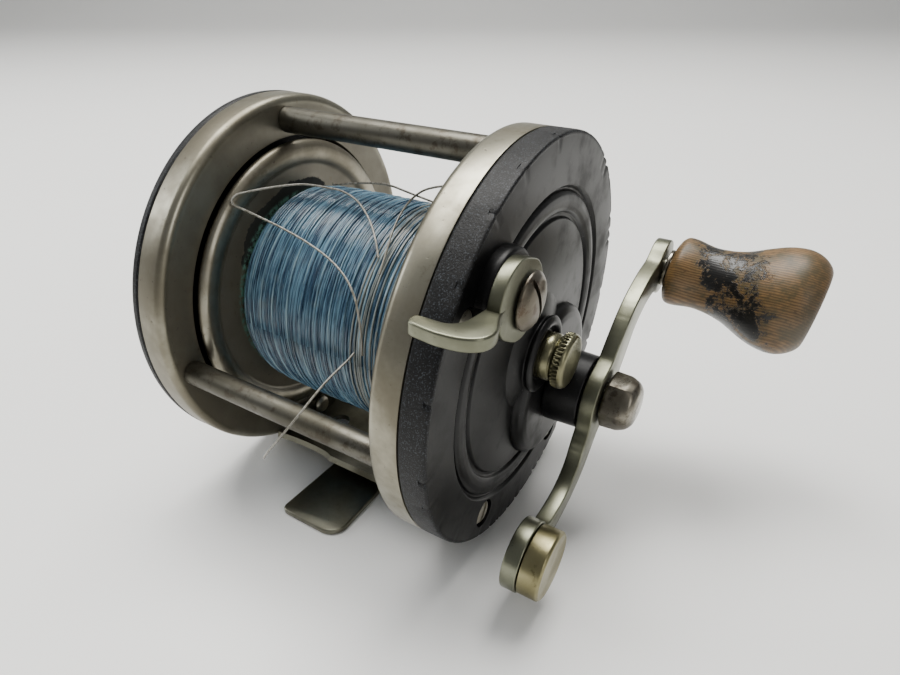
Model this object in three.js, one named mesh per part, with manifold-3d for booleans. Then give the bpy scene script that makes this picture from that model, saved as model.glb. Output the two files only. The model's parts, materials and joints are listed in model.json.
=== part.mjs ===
// A revolving-spool (conventional) multiplying reel, modelled as it comes apart on a bench.
// Units are millimetres. X is the spool axis and points to the handle, Y points to the rod tip,
// Z is up. The origin is the centre of the foot's flat underside.
import * as THREE from 'three';
import { mergeVertices } from 'three/addons/utils/BufferGeometryUtils.js';
import Module from 'manifold-3d';

const wasm = await Module();
wasm.setup();

// ---------------------------------------------------------------- driving dimensions
const AXIS_HEIGHT = 40.8; // spool axis above the foot's underside
const CLEAR = 0.3; // gap round anything that turns or slides
const SEAT = 0.1; // gap between flat faces that bear on each other

const RING_RADIUS = 40;
const RING_BORE = 32.1;
const RING_FACE = 24; // inner face of each ring, from the middle of the spool
const RING_WIDTH = 6;
const RING_WALL = 2;
const RING_SHOULDER = 1.6; // radius of the rounded shoulder
const RING_BACK = RING_FACE + RING_WIDTH;

const PLATE_RIM = RING_BACK + SEAT;
const CAVITY_RADIUS = 31.4;
const HEAD_INNER = 33.3; // inner face of the head plate's web
const HEAD_FRONT = 35.2;
const TAIL_INNER = 31;
const TAIL_BACK = 32.6;
const TAIL_RIM = 31.5; // outer face of the tail plate's rim
const TAIL_RADIUS = 39.9;

const PILLAR_RADIUS = 2.5;
const PILLAR_CIRCLE = 35.6;
const PILLAR_ANGLES = { top: 90, thumb_side: 191, line_side: -11 };
const PLATE_SCREW_CIRCLE = 34.4;
const PLATE_SCREW_ANGLES = [-119, -61, 147];

const FOOT_HALF_LENGTH = 32;
const FOOT_HALF_WIDTH = 7.1; // at the waist; each end is a little wider
const FOOT_THICKNESS = 1.4;
const FOOT_TIE_ANGLE = -90;

const FLANGE_RADIUS = 31.4;
const FLANGE_FACE = 23; // line side of each spool flange
const ARBOR_RADIUS = 5.5;
const SHAFT_RADIUS = 2;
const LINE_RADIUS = 22.9;
const LINE_HALF_WIDTH = 22.8;

const HEAD_NECK_END = 41.9; // end of each threaded bearing neck
const TAIL_NECK_END = 38;

const POST = { y: 9.5, z: -11.7 }; // crank axis, from the spool axis
const GEAR_TEETH = 30;
const PINION_TEETH = 12;
const POST_OFFSET = Math.hypot(POST.y, POST.z);
const POST_DIRECTION = Math.atan2(POST.z, POST.y);
const GEAR_MODULE = (2 * POST_OFFSET) / (GEAR_TEETH + PINION_TEETH);
const GEAR_SPAN = [26.9, 29.2];
const YOKE_SPAN = [29.5, 30.6];
const BRIDGE_SPAN = [25.1, 26.3];
const BRIDGE_POSTS = [-100, 10, 170];
const BRIDGE_POST_CIRCLE = 28;
const YOKE_GUIDES = [{ y: -10.5, z: -1 }, { y: 5, z: 11 }];

const LEVER = { y: -19.4, z: 20.5 }; // free-spool lever pivot, from the spool axis
const LEVER_SPAN = [38, 40.2];
const THUMB_TOP = 22.4;
const THUMB_THICKNESS = 2.3;

const BUSH_END = 44.8;
const ARM_SPAN = [45.1, 48.2];
const HUB_RADIUS = 7.6;
const GRIP_EYE = { y: 29.9, z: 17.8, r: 5.9 }; // from the crank axis
const WEIGHT_PAD = { y: -32.3, z: -17.4, r: 7.15 };
const GRIP_TILT = THREE.MathUtils.degToRad(4); // the old spindle droops a little

const CLICK = { y: -16, z: -11 }; // click button when off, from the spool axis
const CLICK_GEAR_RADIUS = 9.4;
const CLICK_TRAVEL = 3;
const LINE_DIAMETER = 0.42;

// ---------------------------------------------------------------- materials
function material(color, metalness, roughness) {
  return new THREE.MeshStandardMaterial({ color, metalness, roughness });
}

const nickelSilver = material(0x9c9884, 0.9, 0.42);
const wornSteel = material(0x6f6a60, 0.9, 0.45);
const hardRubber = material(0x1d1e20, 0, 0.55);
const crankNickel = material(0x8e9078, 0.9, 0.4);
const brass = material(0x9a8a55, 0.9, 0.4);
const pewter = material(0x5d574c, 0.9, 0.38);
const springSteel = material(0x7b7b7d, 1, 0.3);
const wood = material(0x8a6234, 0, 0.5);
const windings = material(0x5f93ab, 0, 0.4);
const looseLine = material(0x9b9a8c, 0, 0.4);

// ---------------------------------------------------------------- solids from geometry
// The triangles of a closed geometry, with shared vertices and none of zero width.
function closedTriangles(geometry) {
  const bare = geometry.clone();
  bare.deleteAttribute('normal');
  bare.deleteAttribute('uv');
  const merged = mergeVertices(bare, 1e-4);
  const index = merged.index.array;
  const kept = [];
  for (let i = 0; i < index.length; i += 3) {
    const [a, b, c] = [index[i], index[i + 1], index[i + 2]];
    if (a !== b && b !== c && c !== a) kept.push(a, b, c);
  }
  return { positions: merged.attributes.position.array, triangles: kept };
}

function signedVolume({ positions, triangles }) {
  const corner = (i) => new THREE.Vector3().fromArray(positions, 3 * triangles[i]);
  let total = 0;
  for (let i = 0; i < triangles.length; i += 3) {
    total += corner(i).dot(corner(i + 1).cross(corner(i + 2)));
  }
  return total / 6;
}

// A manifold solid whose faces point outwards, whichever way the profile was drawn.
function solid(geometry) {
  const mesh = closedTriangles(geometry);
  if (signedVolume(mesh) < 0) mesh.triangles.reverse();
  return new wasm.Manifold(new wasm.Mesh({
    numProp: 3,
    vertProperties: mesh.positions,
    triVerts: new Uint32Array(mesh.triangles),
  }));
}

function geometryOf(shape) {
  const mesh = shape.getMesh();
  const geometry = new THREE.BufferGeometry();
  geometry.setAttribute('position', new THREE.BufferAttribute(mesh.vertProperties, 3));
  geometry.setIndex(new THREE.BufferAttribute(mesh.triVerts, 1));
  geometry.computeVertexNormals();
  return geometry;
}

const joined = (shapes) => shapes.reduce((whole, shape) => whole.add(shape));
const cut = (shape, holes) => holes.reduce((left, hole) => left.subtract(hole), shape);
const polar = (radius, degrees) => ({
  y: radius * Math.cos(THREE.MathUtils.degToRad(degrees)),
  z: radius * Math.sin(THREE.MathUtils.degToRad(degrees)),
});

// A turned piece: the profile is a list of [x, radius] round the X axis, moved to (y, z).
function turned(profile, segments, { y = 0, z = 0 } = {}) {
  const points = profile.map(([x, radius]) => new THREE.Vector2(radius, x));
  const onAxis = profile[0][1] === 0;
  if (!onAxis) points.push(points[0].clone());
  const geometry = new THREE.LatheGeometry(points, segments);
  geometry.rotateZ(-Math.PI / 2);
  geometry.translate(0, y, z);
  return solid(geometry);
}

const mirrored = (profile) => profile.map(([x, radius]) => [-x, radius]);
const rod = (radius, from, to, segments, place) =>
  turned([[from, 0], [from, radius], [to, radius], [to, 0]], segments, place);

// A plate: an outline in the YZ plane, between two places on X.
const YZ_PLANE = new THREE.Matrix4().makeBasis(
  new THREE.Vector3(0, 1, 0), new THREE.Vector3(0, 0, 1), new THREE.Vector3(1, 0, 0));

function plate(outline, [from, to]) {
  const geometry = new THREE.ExtrudeGeometry(outline, {
    depth: to - from, bevelEnabled: false, curveSegments: 5,
  });
  geometry.applyMatrix4(YZ_PLANE);
  geometry.translate(from, 0, 0);
  return solid(geometry);
}

// A slab: an outline in the XY plane, from z = bottom upwards.
function slab(outline, bottom, thickness) {
  const geometry = new THREE.ExtrudeGeometry(outline, {
    depth: thickness, bevelEnabled: false, curveSegments: 5,
  });
  geometry.translate(0, 0, bottom);
  return solid(geometry);
}

function block(sizeX, sizeY, sizeZ, x, y, z, turn = 0) {
  const geometry = new THREE.BoxGeometry(sizeX, sizeY, sizeZ);
  geometry.rotateX(turn);
  geometry.translate(x, y, z);
  return solid(geometry);
}

// The outline of a strap that follows a smooth centre line, each point with its half width.
function strapOutline(stations, steps) {
  const centre = new THREE.CatmullRomCurve3(
    stations.map(({ y, z }) => new THREE.Vector3(y, z, 0)));
  const width = new THREE.CatmullRomCurve3(
    stations.map(({ r }, i) => new THREE.Vector3(i, r, 0)));
  const sides = [[], []];
  for (let i = 0; i <= steps; i += 1) {
    const point = centre.getPoint(i / steps);
    const along = centre.getTangent(i / steps);
    const half = width.getPoint(i / steps).y;
    sides[0].push(new THREE.Vector2(point.x - along.y * half, point.y + along.x * half));
    sides[1].push(new THREE.Vector2(point.x + along.y * half, point.y - along.x * half));
  }
  return new THREE.Shape([...sides[0], ...sides[1].reverse()]);
}

// The outline of two round ends joined by their outer tangents.
function linkOutline(a, b) {
  const direction = Math.atan2(b.z - a.z, b.y - a.y);
  const tangent = Math.acos((a.r - b.r) / Math.hypot(b.y - a.y, b.z - a.z));
  const outline = new THREE.Shape();
  outline.absarc(a.y, a.z, a.r, direction + tangent, direction - tangent + 2 * Math.PI, false);
  outline.absarc(b.y, b.z, b.r, direction - tangent, direction + tangent, false);
  return outline;
}

// A spur gear's outline with one tooth centred on the angle `phase`.
function gearOutline(teeth, phase) {
  const pitch = (GEAR_MODULE * teeth) / 2;
  const root = pitch - 1.2 * GEAR_MODULE;
  const tip = pitch + 0.8 * GEAR_MODULE;
  const half = (Math.PI / (2 * teeth)) * 0.78;
  const corners = [[root, -1.7], [tip, -0.42], [tip, 0.42], [root, 1.7]];
  const points = [];
  for (let tooth = 0; tooth < teeth; tooth += 1) {
    for (const [radius, offset] of corners) {
      const angle = phase + (2 * Math.PI * tooth) / teeth + half * offset;
      points.push(new THREE.Vector2(radius * Math.cos(angle), radius * Math.sin(angle)));
    }
  }
  return new THREE.Shape(points);
}

// A toothed or knurled outline that alternates between two radii.
function starOutline(points, outer, inner) {
  const corners = [];
  for (let i = 0; i < 2 * points; i += 1) {
    const radius = i % 2 ? inner : outer;
    const angle = (Math.PI * i) / points;
    corners.push(new THREE.Vector2(radius * Math.cos(angle), radius * Math.sin(angle)));
  }
  return new THREE.Shape(corners);
}

// A round or polygonal wire along a smooth curve through the points.
function wire(points, diameter, sides, steps) {
  const curve = new THREE.CatmullRomCurve3(points.map((p) => new THREE.Vector3(...p)));
  const section = new THREE.Shape();
  for (let i = 0; i < sides; i += 1) {
    const angle = (2 * Math.PI * i) / sides;
    const corner = [(diameter / 2) * Math.cos(angle), (diameter / 2) * Math.sin(angle)];
    if (i === 0) section.moveTo(...corner);
    else section.lineTo(...corner);
  }
  return solid(new THREE.ExtrudeGeometry(section, { steps, extrudePath: curve }));
}

// ---------------------------------------------------------------- assembly groups
const reel = new THREE.Group();
const spoolAxis = new THREE.Group();
const crankAxis = new THREE.Group();
const leverAxis = new THREE.Group();
const clickAxis = new THREE.Group();
const gripAxis = new THREE.Group();
spoolAxis.position.z = AXIS_HEIGHT;
crankAxis.position.set(0, POST.y, POST.z);
leverAxis.position.set(0, LEVER.y, LEVER.z);
clickAxis.position.set(0, CLICK.y, CLICK.z);
gripAxis.position.set(ARM_SPAN[1], GRIP_EYE.y, GRIP_EYE.z);
gripAxis.rotation.y = GRIP_TILT;
reel.add(spoolAxis);
spoolAxis.add(crankAxis, leverAxis, clickAxis);
crankAxis.add(gripAxis);

function place(group, name, shape, look, { y = 0, z = 0 } = {}) {
  const mesh = new THREE.Mesh(geometryOf(shape), look.clone());
  mesh.name = name;
  mesh.position.set(0, y, z);
  group.add(mesh);
}

// ---------------------------------------------------------------- frame: rings and plates
function ringProfile() {
  const profile = [[RING_FACE, RING_BORE]];
  const corner = [RING_FACE + RING_SHOULDER, RING_RADIUS - RING_SHOULDER];
  for (let step = 0; step <= 3; step += 1) {
    const angle = (Math.PI / 2) * (step / 3);
    profile.push([
      corner[0] - RING_SHOULDER * Math.cos(angle),
      corner[1] + RING_SHOULDER * Math.sin(angle),
    ]);
  }
  const web = RING_FACE + RING_WALL;
  const band = RING_RADIUS - RING_WALL;
  profile.push([RING_BACK, RING_RADIUS], [RING_BACK, band], [web, band], [web, RING_BORE]);
  return profile;
}

function ring(side) {
  const profile = ringProfile();
  const body = turned(side > 0 ? profile : mirrored(profile), 36);
  const from = side * (RING_FACE - 1);
  const to = side * (RING_FACE + RING_WALL + 1);
  const ties = [...Object.values(PILLAR_ANGLES), FOOT_TIE_ANGLE];
  const holes = ties.map((angle) => rod(1.4, from, to, 8, polar(PILLAR_CIRCLE, angle)));
  for (const angle of PLATE_SCREW_ANGLES) {
    holes.push(rod(1.4, from, to, 8, polar(PLATE_SCREW_CIRCLE, angle)));
  }
  return cut(body, holes);
}

place(spoolAxis, 'head_ring', ring(1), nickelSilver);
place(spoolAxis, 'tail_ring', ring(-1), nickelSilver);

function headPlate() {
  const web = turned([
    [HEAD_INNER, 0], [HEAD_INNER, CAVITY_RADIUS], [PLATE_RIM, CAVITY_RADIUS],
    [PLATE_RIM, RING_RADIUS], [34.6, 39.8], [HEAD_FRONT, 39.1], [HEAD_FRONT, 31],
    [34.4, 30.8], [34.4, 30.2], [35.1, 29.6], [35.1, 27], [34.4, 26.5], [34.4, 25.9],
    [34.8, 25.4], [34.8, 0],
  ], 36);
  const gearHousing = turned(
    [[34, 0], [34, 16.8], [36.3, 16.5], [37.2, 15], [37.2, 0]], 32, POST);
  const leverBoss = turned([[34, 0], [34, 7.6], [37.1, 7.5], [37.6, 6.9], [37.6, 0]], 20, LEVER);
  const collar = turned([
    [34, 0], [34, 11], [35.3, 9.3], [36, 8.4], [36.4, 7.7], [37.1, 7.7], [37.8, 6.6],
    [37.6, 5.9], [36.9, 5], [36.9, 0],
  ], 24);
  const holes = [
    rod(4.75, 30, 40, 24),
    rod(6.2, 30, 40, 24, POST),
    rod(2.5, 30, 40, 12, LEVER),
  ];
  for (const angle of PLATE_SCREW_ANGLES) {
    holes.push(rod(1.5, 28, 40, 8, polar(PLATE_SCREW_CIRCLE, angle)));
    holes.push(rod(3.1, 33.8, 40, 14, polar(PLATE_SCREW_CIRCLE, angle)));
  }
  return cut(joined([web, gearHousing, leverBoss, collar]), holes);
}

function tailPlate() {
  const web = turned(mirrored([
    [TAIL_INNER, 0], [TAIL_INNER, CAVITY_RADIUS], [PLATE_RIM, CAVITY_RADIUS],
    [PLATE_RIM, TAIL_RADIUS], [31, TAIL_RADIUS], [TAIL_RIM, 39.3], [TAIL_RIM, 30.6],
    [32.3, 29.6], [32.3, 27], [31.8, 26.3], [TAIL_BACK, 25.4], [TAIL_BACK, 0],
  ]), 36);
  const collar = turned(
    mirrored([[32, 0], [32, 11], [34, 8.4], [35, 7.6], [35.4, 6.6], [35.4, 0]]), 24);
  const inward = new THREE.Vector2(-CLICK.y, -CLICK.z).normalize();
  const end = { y: CLICK.y + inward.x * CLICK_TRAVEL, z: CLICK.z + inward.y * CLICK_TRAVEL };
  const slot = plate(
    linkOutline({ ...CLICK, r: 1.7 }, { ...end, r: 1.69 }), [-40, -20]);
  const holes = [rod(4.75, -40, -20, 24), slot];
  for (const angle of PLATE_SCREW_ANGLES) {
    holes.push(rod(1.5, -40, -20, 8, polar(PLATE_SCREW_CIRCLE, angle)));
  }
  return cut(web.add(collar), holes);
}

place(spoolAxis, 'head_plate', headPlate(), hardRubber);
place(spoolAxis, 'tail_plate', tailPlate(), hardRubber);

function plateScrew(side, head, underHead) {
  const profile = [
    [RING_FACE + 0.4, 0], [RING_FACE + 0.4, 1.1], [underHead, 1.1], [underHead, 2.6],
    [head - 0.4, 2.6], [head, 1.9], [head, 0],
  ];
  const body = turned(side > 0 ? profile : mirrored(profile), 12);
  return body.subtract(block(1.2, 8, 0.8, side * (head + 0.1), 0, 0, 0.5));
}

PLATE_SCREW_ANGLES.forEach((angle, i) => {
  const spot = polar(PLATE_SCREW_CIRCLE, angle);
  place(spoolAxis, `head_plate_screw_${i + 1}`, plateScrew(1, 35.1, 33.9), wornSteel, spot);
  place(spoolAxis, `tail_plate_screw_${i + 1}`, plateScrew(-1, 32.8, TAIL_RIM + SEAT), wornSteel, spot);
});

// ---------------------------------------------------------------- frame: pillars and foot
function pillar() {
  const half = RING_FACE - SEAT;
  const shoulder = PILLAR_RADIUS - 0.3;
  return turned([
    [-half, 0], [-half, shoulder], [-half + 0.3, PILLAR_RADIUS], [half - 0.3, PILLAR_RADIUS],
    [half, shoulder], [half, 1.3], [half - 7, 1.3], [half - 7, 0],
  ], 14);
}

const tieScrew = (side) => turned(
  [[18.5, 0], [18.5, 1.1], [26.1, 1.1], [26.1, 1.9], [27.3, 1.6], [27.3, 0]]
    .map(([x, radius]) => [side * x, radius]), 10);

for (const [name, angle] of Object.entries(PILLAR_ANGLES)) {
  const spot = polar(PILLAR_CIRCLE, angle);
  place(spoolAxis, `pillar_${name}`, pillar(), wornSteel, spot);
  place(spoolAxis, `pillar_screw_${name}`, tieScrew(1), wornSteel, spot);
}

// The foot: one stamping with a saddle between the rings, an upturned tab at each ring and a
// flat blade along Y that seats on a rod.
function foot() {
  const top = FOOT_THICKNESS - AXIS_HEIGHT;
  const tip = FOOT_HALF_WIDTH + 0.7;
  const cornerOn = (side) => (side > 0 ? 4.8 : 1.8);
  const blade = new THREE.Shape();
  blade.moveTo(FOOT_HALF_WIDTH, 0);
  for (const sign of [1, -1]) {
    const end = sign * FOOT_HALF_LENGTH;
    const first = cornerOn(sign);
    const second = cornerOn(-sign);
    blade.lineTo(sign * tip, end - sign * first);
    blade.quadraticCurveTo(sign * tip, end, sign * (tip - first), end);
    blade.lineTo(-sign * (tip - second), end);
    blade.quadraticCurveTo(-sign * tip, end, -sign * tip, end - sign * second);
    blade.lineTo(-sign * FOOT_HALF_WIDTH, 0);
  }
  const half = RING_FACE - SEAT;
  const saddlePlan = new THREE.Shape();
  saddlePlan.moveTo(-half, 15.4);
  saddlePlan.bezierCurveTo(-18, 13.4, -12, 13.4, -FOOT_HALF_WIDTH, 15.6);
  saddlePlan.lineTo(FOOT_HALF_WIDTH, 15.6);
  saddlePlan.bezierCurveTo(12, 13.4, 18, 13.4, half, 15.4);
  saddlePlan.lineTo(half, -15.4);
  saddlePlan.bezierCurveTo(18, -13.4, 12, -13.4, FOOT_HALF_WIDTH, -15.6);
  saddlePlan.lineTo(-FOOT_HALF_WIDTH, -15.6);
  saddlePlan.bezierCurveTo(-12, -13.4, -18, -13.4, -half, -15.4);
  const shell = turned([[-half, 38.8], [-half, 40.2], [half, 40.2], [half, 38.8]], 72);
  const saddle = shell.intersect(slab(saddlePlan, -45, 20));
  const tabBand = (side) => turned(
    [[side * half, 33], [side * half, 40.2], [side * (half - 1.2), 40.2],
      [side * (half - 1.2), 33]], 72).intersect(block(60, 20, 20, 0, 0, -38));
  const holes = [-1, 1].flatMap((side) => [
    turned([[-50, 0], [-50, 2.6], [50, 2.6], [50, 0]], 16).rotate([0, 90, 0])
      .translate([side * 16.2, 0, -38]),
    rod(1.4, side * 20, side * 30, 8, polar(PILLAR_CIRCLE, FOOT_TIE_ANGLE)),
  ]);
  const body = joined([
    slab(blade, -AXIS_HEIGHT, FOOT_THICKNESS), saddle, tabBand(1), tabBand(-1)]);
  const underside = block(100, 100, 10, 0, 0, -AXIS_HEIGHT - 5);
  return cut(body, [...holes, underside, block(15, 40, 1, 0, 0, top + 8)]);
}

const footScrew = (side) => turned(
  [[21.2, 0], [21.2, 1.1], [26.1, 1.1], [26.1, 1.9], [27.3, 1.6], [27.3, 0]]
    .map(([x, radius]) => [side * x, radius]), 10);

place(spoolAxis, 'foot', foot(), nickelSilver);
place(spoolAxis, 'foot_screw_head', footScrew(1), wornSteel,
  polar(PILLAR_CIRCLE, FOOT_TIE_ANGLE));
place(spoolAxis, 'foot_screw_tail', footScrew(-1), wornSteel,
  polar(PILLAR_CIRCLE, FOOT_TIE_ANGLE));

// ---------------------------------------------------------------- spool bearings
function bushing(side, inner, neckEnd) {
  const profile = [[inner, 2.2], [inner, 4.6], [neckEnd, 4.6], [neckEnd, 2.2]];
  return turned(side > 0 ? profile : mirrored(profile), 20);
}

function bearingCap(side, neckEnd) {
  const mouth = neckEnd - 1.4;
  const end = neckEnd + 1.1;
  const span = side > 0 ? [mouth, end - 0.4] : [-end + 0.4, -mouth];
  const knurl = plate(starOutline(26, 5.5, 5.15), span);
  const face = rod(4.9, side * (end - 0.5), side * end, 20);
  const bore = rod(4.9, side * (mouth - 1), side * (neckEnd + 0.2), 20);
  return cut(knurl.add(face), [bore]);
}

place(spoolAxis, 'head_bushing', bushing(1, HEAD_INNER + SEAT, HEAD_NECK_END), brass);
place(spoolAxis, 'tail_bushing', bushing(-1, TAIL_INNER + SEAT, TAIL_NECK_END), brass);
place(spoolAxis, 'head_bearing_cap', bearingCap(1, HEAD_NECK_END), brass);
place(spoolAxis, 'tail_bearing_cap', bearingCap(-1, TAIL_NECK_END), brass);

// ---------------------------------------------------------------- spool
function spoolShaft() {
  return turned([[-37.6, 0], [-37.6, 1], [-36.6, SHAFT_RADIUS], [39.6, SHAFT_RADIUS],
    [40.6, 1], [40.6, 0]], 12);
}

// Each flange is spun sheet with a rolled rim.
const flangeProfile = [
  [FLANGE_FACE, 2.1], [FLANGE_FACE, 26.6], [22.2, 27.4], [21.7, 28.7], [21.9, 30.2],
  [22.7, 31.1], [23.6, FLANGE_RADIUS], [24.3, 30.8], [24.3, 29.8], [23.9, 29.2], [23.9, 2.1],
];

// The windings fall away towards the tail flange.
function linePack() {
  return turned([
    [-LINE_HALF_WIDTH, ARBOR_RADIUS + SEAT], [-LINE_HALF_WIDTH, 19.4], [-21.6, 20.9],
    [-19.6, 22], [-12, 22.7], [0, LINE_RADIUS], [14, 22.8], [20, 22.3],
    [LINE_HALF_WIDTH, 21.5], [LINE_HALF_WIDTH, ARBOR_RADIUS + SEAT],
  ], 32);
}

function clutchDog() {
  const across = block(3, 5.2, 10, 25.4, 0, 0, POST_DIRECTION);
  return cut(rod(3.6, 24.3, 26.4, 20).intersect(across), [rod(2.1, 20, 30, 12)]);
}

place(spoolAxis, 'spool_shaft', spoolShaft(), springSteel);
place(spoolAxis, 'spool_arbor', turned(
  [[-22.9, 2.1], [-22.9, ARBOR_RADIUS], [22.9, ARBOR_RADIUS], [22.9, 2.1]], 24), wornSteel);
place(spoolAxis, 'spool_flange_head', turned(flangeProfile, 32), nickelSilver);
place(spoolAxis, 'spool_flange_tail', turned(mirrored(flangeProfile), 32), nickelSilver);
place(spoolAxis, 'line_pack', linePack(), windings);
place(spoolAxis, 'clutch_dog', clutchDog(), brass);
place(spoolAxis, 'click_gear', cut(
  plate(starOutline(20, CLICK_GEAR_RADIUS, 7.8), [-27.9, -26.4]),
  [rod(2.1, -30, -20, 12)]), brass);

// ---------------------------------------------------------------- gear train
function driveGear() {
  const phase = POST_DIRECTION + Math.PI + Math.PI / GEAR_TEETH;
  return cut(plate(gearOutline(GEAR_TEETH, phase), GEAR_SPAN), [rod(3, 20, 40, 14)]);
}

// The pinion has long teeth, a slotted end that clutches the spool, and a neck for the yoke.
function pinion() {
  const teeth = plate(gearOutline(PINION_TEETH, POST_DIRECTION), [25.2, GEAR_SPAN[1]]);
  const neck = turned([[29.1, 0], [29.1, 3.1], [30.9, 3.1], [30.9, 4.3], [31.5, 4.3],
    [31.5, 0]], 18);
  const slot = block(2.8, 5.9, 12, 25.8, 0, 0, POST_DIRECTION);
  return cut(teeth.add(neck), [slot, rod(2.3, 20, 40, 12)]);
}

function bridge() {
  const centre = { y: 0, z: 0, r: 8 };
  const feet = BRIDGE_POSTS.map((angle) => ({ ...polar(BRIDGE_POST_CIRCLE, angle), r: 3 }));
  const arms = [...feet, { ...POST, r: 5 }, ...YOKE_GUIDES.map((g) => ({ ...g, r: 2.8 }))];
  const body = joined(arms.map((arm) => plate(linkOutline(centre, arm), BRIDGE_SPAN)));
  const holes = [rod(5.2, 20, 30, 20), rod(2.2, 20, 30, 12, POST)];
  for (const spot of [...feet, ...YOKE_GUIDES]) holes.push(rod(1.2, 20, 30, 8, spot));
  return cut(body, holes);
}

// A post riveted into the bridge that reaches the head plate.
const bridgePost = (radius) => turned([
  [BRIDGE_SPAN[0], 0], [BRIDGE_SPAN[0], 1], [BRIDGE_SPAN[1] + SEAT, 1],
  [BRIDGE_SPAN[1] + SEAT, radius], [HEAD_INNER - SEAT, radius], [HEAD_INNER - SEAT, 0],
], 10);

place(crankAxis, 'drive_gear', driveGear(), brass);
place(spoolAxis, 'pinion', pinion(), brass);
place(spoolAxis, 'gear_bridge', bridge(), brass);
BRIDGE_POSTS.forEach((angle, i) => place(
  spoolAxis, `bridge_post_${i + 1}`, bridgePost(2.2), brass, polar(BRIDGE_POST_CIRCLE, angle)));

// ---------------------------------------------------------------- free-spool linkage
function yoke() {
  const centre = { y: 0, z: 0, r: 7 };
  const arms = [{ ...LEVER, r: 3.1 }, ...YOKE_GUIDES.map((g) => ({ ...g, r: 3 }))];
  const body = joined(arms.map((arm) => plate(linkOutline(centre, arm), YOKE_SPAN)));
  const reach = 10;
  const mouth = block(4, 2 * reach, 7, 30, reach * Math.cos(POST_DIRECTION),
    reach * Math.sin(POST_DIRECTION), POST_DIRECTION);
  const holes = [rod(3.5, 20, 40, 20), mouth, rod(2.6, 20, 40, 12, LEVER)];
  for (const spot of YOKE_GUIDES) holes.push(rod(1.8, 20, 40, 10, spot));
  return cut(body, holes);
}

// A flat coil that sits on the yoke and has room to travel with it.
function yokeSpring() {
  const turns = 1.6;
  const steps = 18;
  const [from, to] = [YOKE_SPAN[1] + 0.3, YOKE_SPAN[1] + 0.7];
  const points = [];
  for (let i = 0; i <= steps; i += 1) {
    const angle = (2 * Math.PI * turns * i) / steps;
    const radius = 2.2 + (0.9 * i) / steps;
    points.push([from + ((to - from) * i) / steps, radius * Math.cos(angle),
      radius * Math.sin(angle)]);
  }
  return wire(points, 0.36, 5, steps);
}

place(spoolAxis, 'yoke', yoke(), brass);
YOKE_GUIDES.forEach((spot, i) => {
  place(spoolAxis, `yoke_guide_${i + 1}`, bridgePost(1.5), springSteel, spot);
  place(spoolAxis, `yoke_spring_${i + 1}`, yokeSpring(), springSteel, spot);
});

// The lever casting: a round head in front of the plate and a thumb piece that runs back over
// the rim. Coordinates are from the lever's own pivot.
function freeSpoolLever() {
  const [back, front] = LEVER_SPAN;
  const head = plate(
    linkOutline({ y: -0.8, z: 0.2, r: 6.5 }, { y: -3.1, z: 1.3, r: 6.3 }), LEVER_SPAN);
  const top = THUMB_TOP - LEVER.z;
  const outer = -18.8;
  const inner = -15.6;
  const plan = new THREE.Shape();
  plan.moveTo(front, -6);
  plan.quadraticCurveTo(front + 0.1, -9.5, front + 1, -11.6);
  plan.quadraticCurveTo(front + 4, outer, front - 1.8, outer + 0.3);
  plan.lineTo(35, outer);
  plan.lineTo(31.2, outer + 0.5);
  plan.quadraticCurveTo(30.1, outer + 0.7, 30.1, inner - 1.6);
  plan.quadraticCurveTo(30.1, inner, 31.2, inner);
  plan.lineTo(35.4, inner);
  plan.quadraticCurveTo(37.2, inner + 1.2, 37.5, -11);
  plan.lineTo(back, -7);
  const thumb = slab(plan, top - THUMB_THICKNESS, THUMB_THICKNESS);
  return cut(head.add(thumb), [rod(1.95, 30, 45, 10)]);
}

function leverScrew() {
  const dome = turned([[40.5, 0], [40.5, 4.8], [41, 4.75], [41.8, 3.8], [42.3, 2],
    [42.4, 0]], 20);
  return dome.subtract(block(2, 14, 1.1, 42.6, 0, 0, THREE.MathUtils.degToRad(115)));
}

place(leverAxis, 'free_spool_lever', freeSpoolLever(), crankNickel);
place(leverAxis, 'lever_screw', leverScrew(), brass);
place(leverAxis, 'lever_shaft', turned([[27.3, 0], [27.3, 1.5], [29.4, 1.5], [29.4, 2.2],
  [37.8, 2.2], [37.8, 1.7], [40.3, 1.7], [40.3, 0]], 12), springSteel);
place(leverAxis, 'lever_cam', turned([[27.4, 1.6], [27.4, 2.9], [29.1, 2.9], [29.1, 1.6]], 14),
  brass);

// ---------------------------------------------------------------- crank
place(crankAxis, 'drive_bush', turned([[33.5, 3.5], [33.5, 6], [37.5, 6], [37.5, 8],
  [BUSH_END, 7.8], [BUSH_END, 3.5]], 24), hardRubber);
place(crankAxis, 'drive_shaft', turned([[25.3, 0], [25.3, 1.9], [26.6, 1.9], [26.6, 2.9],
  [29.5, 2.9], [29.5, 3.2], [44.9, 3.2], [44.9, 2.5], [48.4, 2.5], [48.4, 2.1], [52, 2.1],
  [52, 0]], 14), springSteel);

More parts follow.
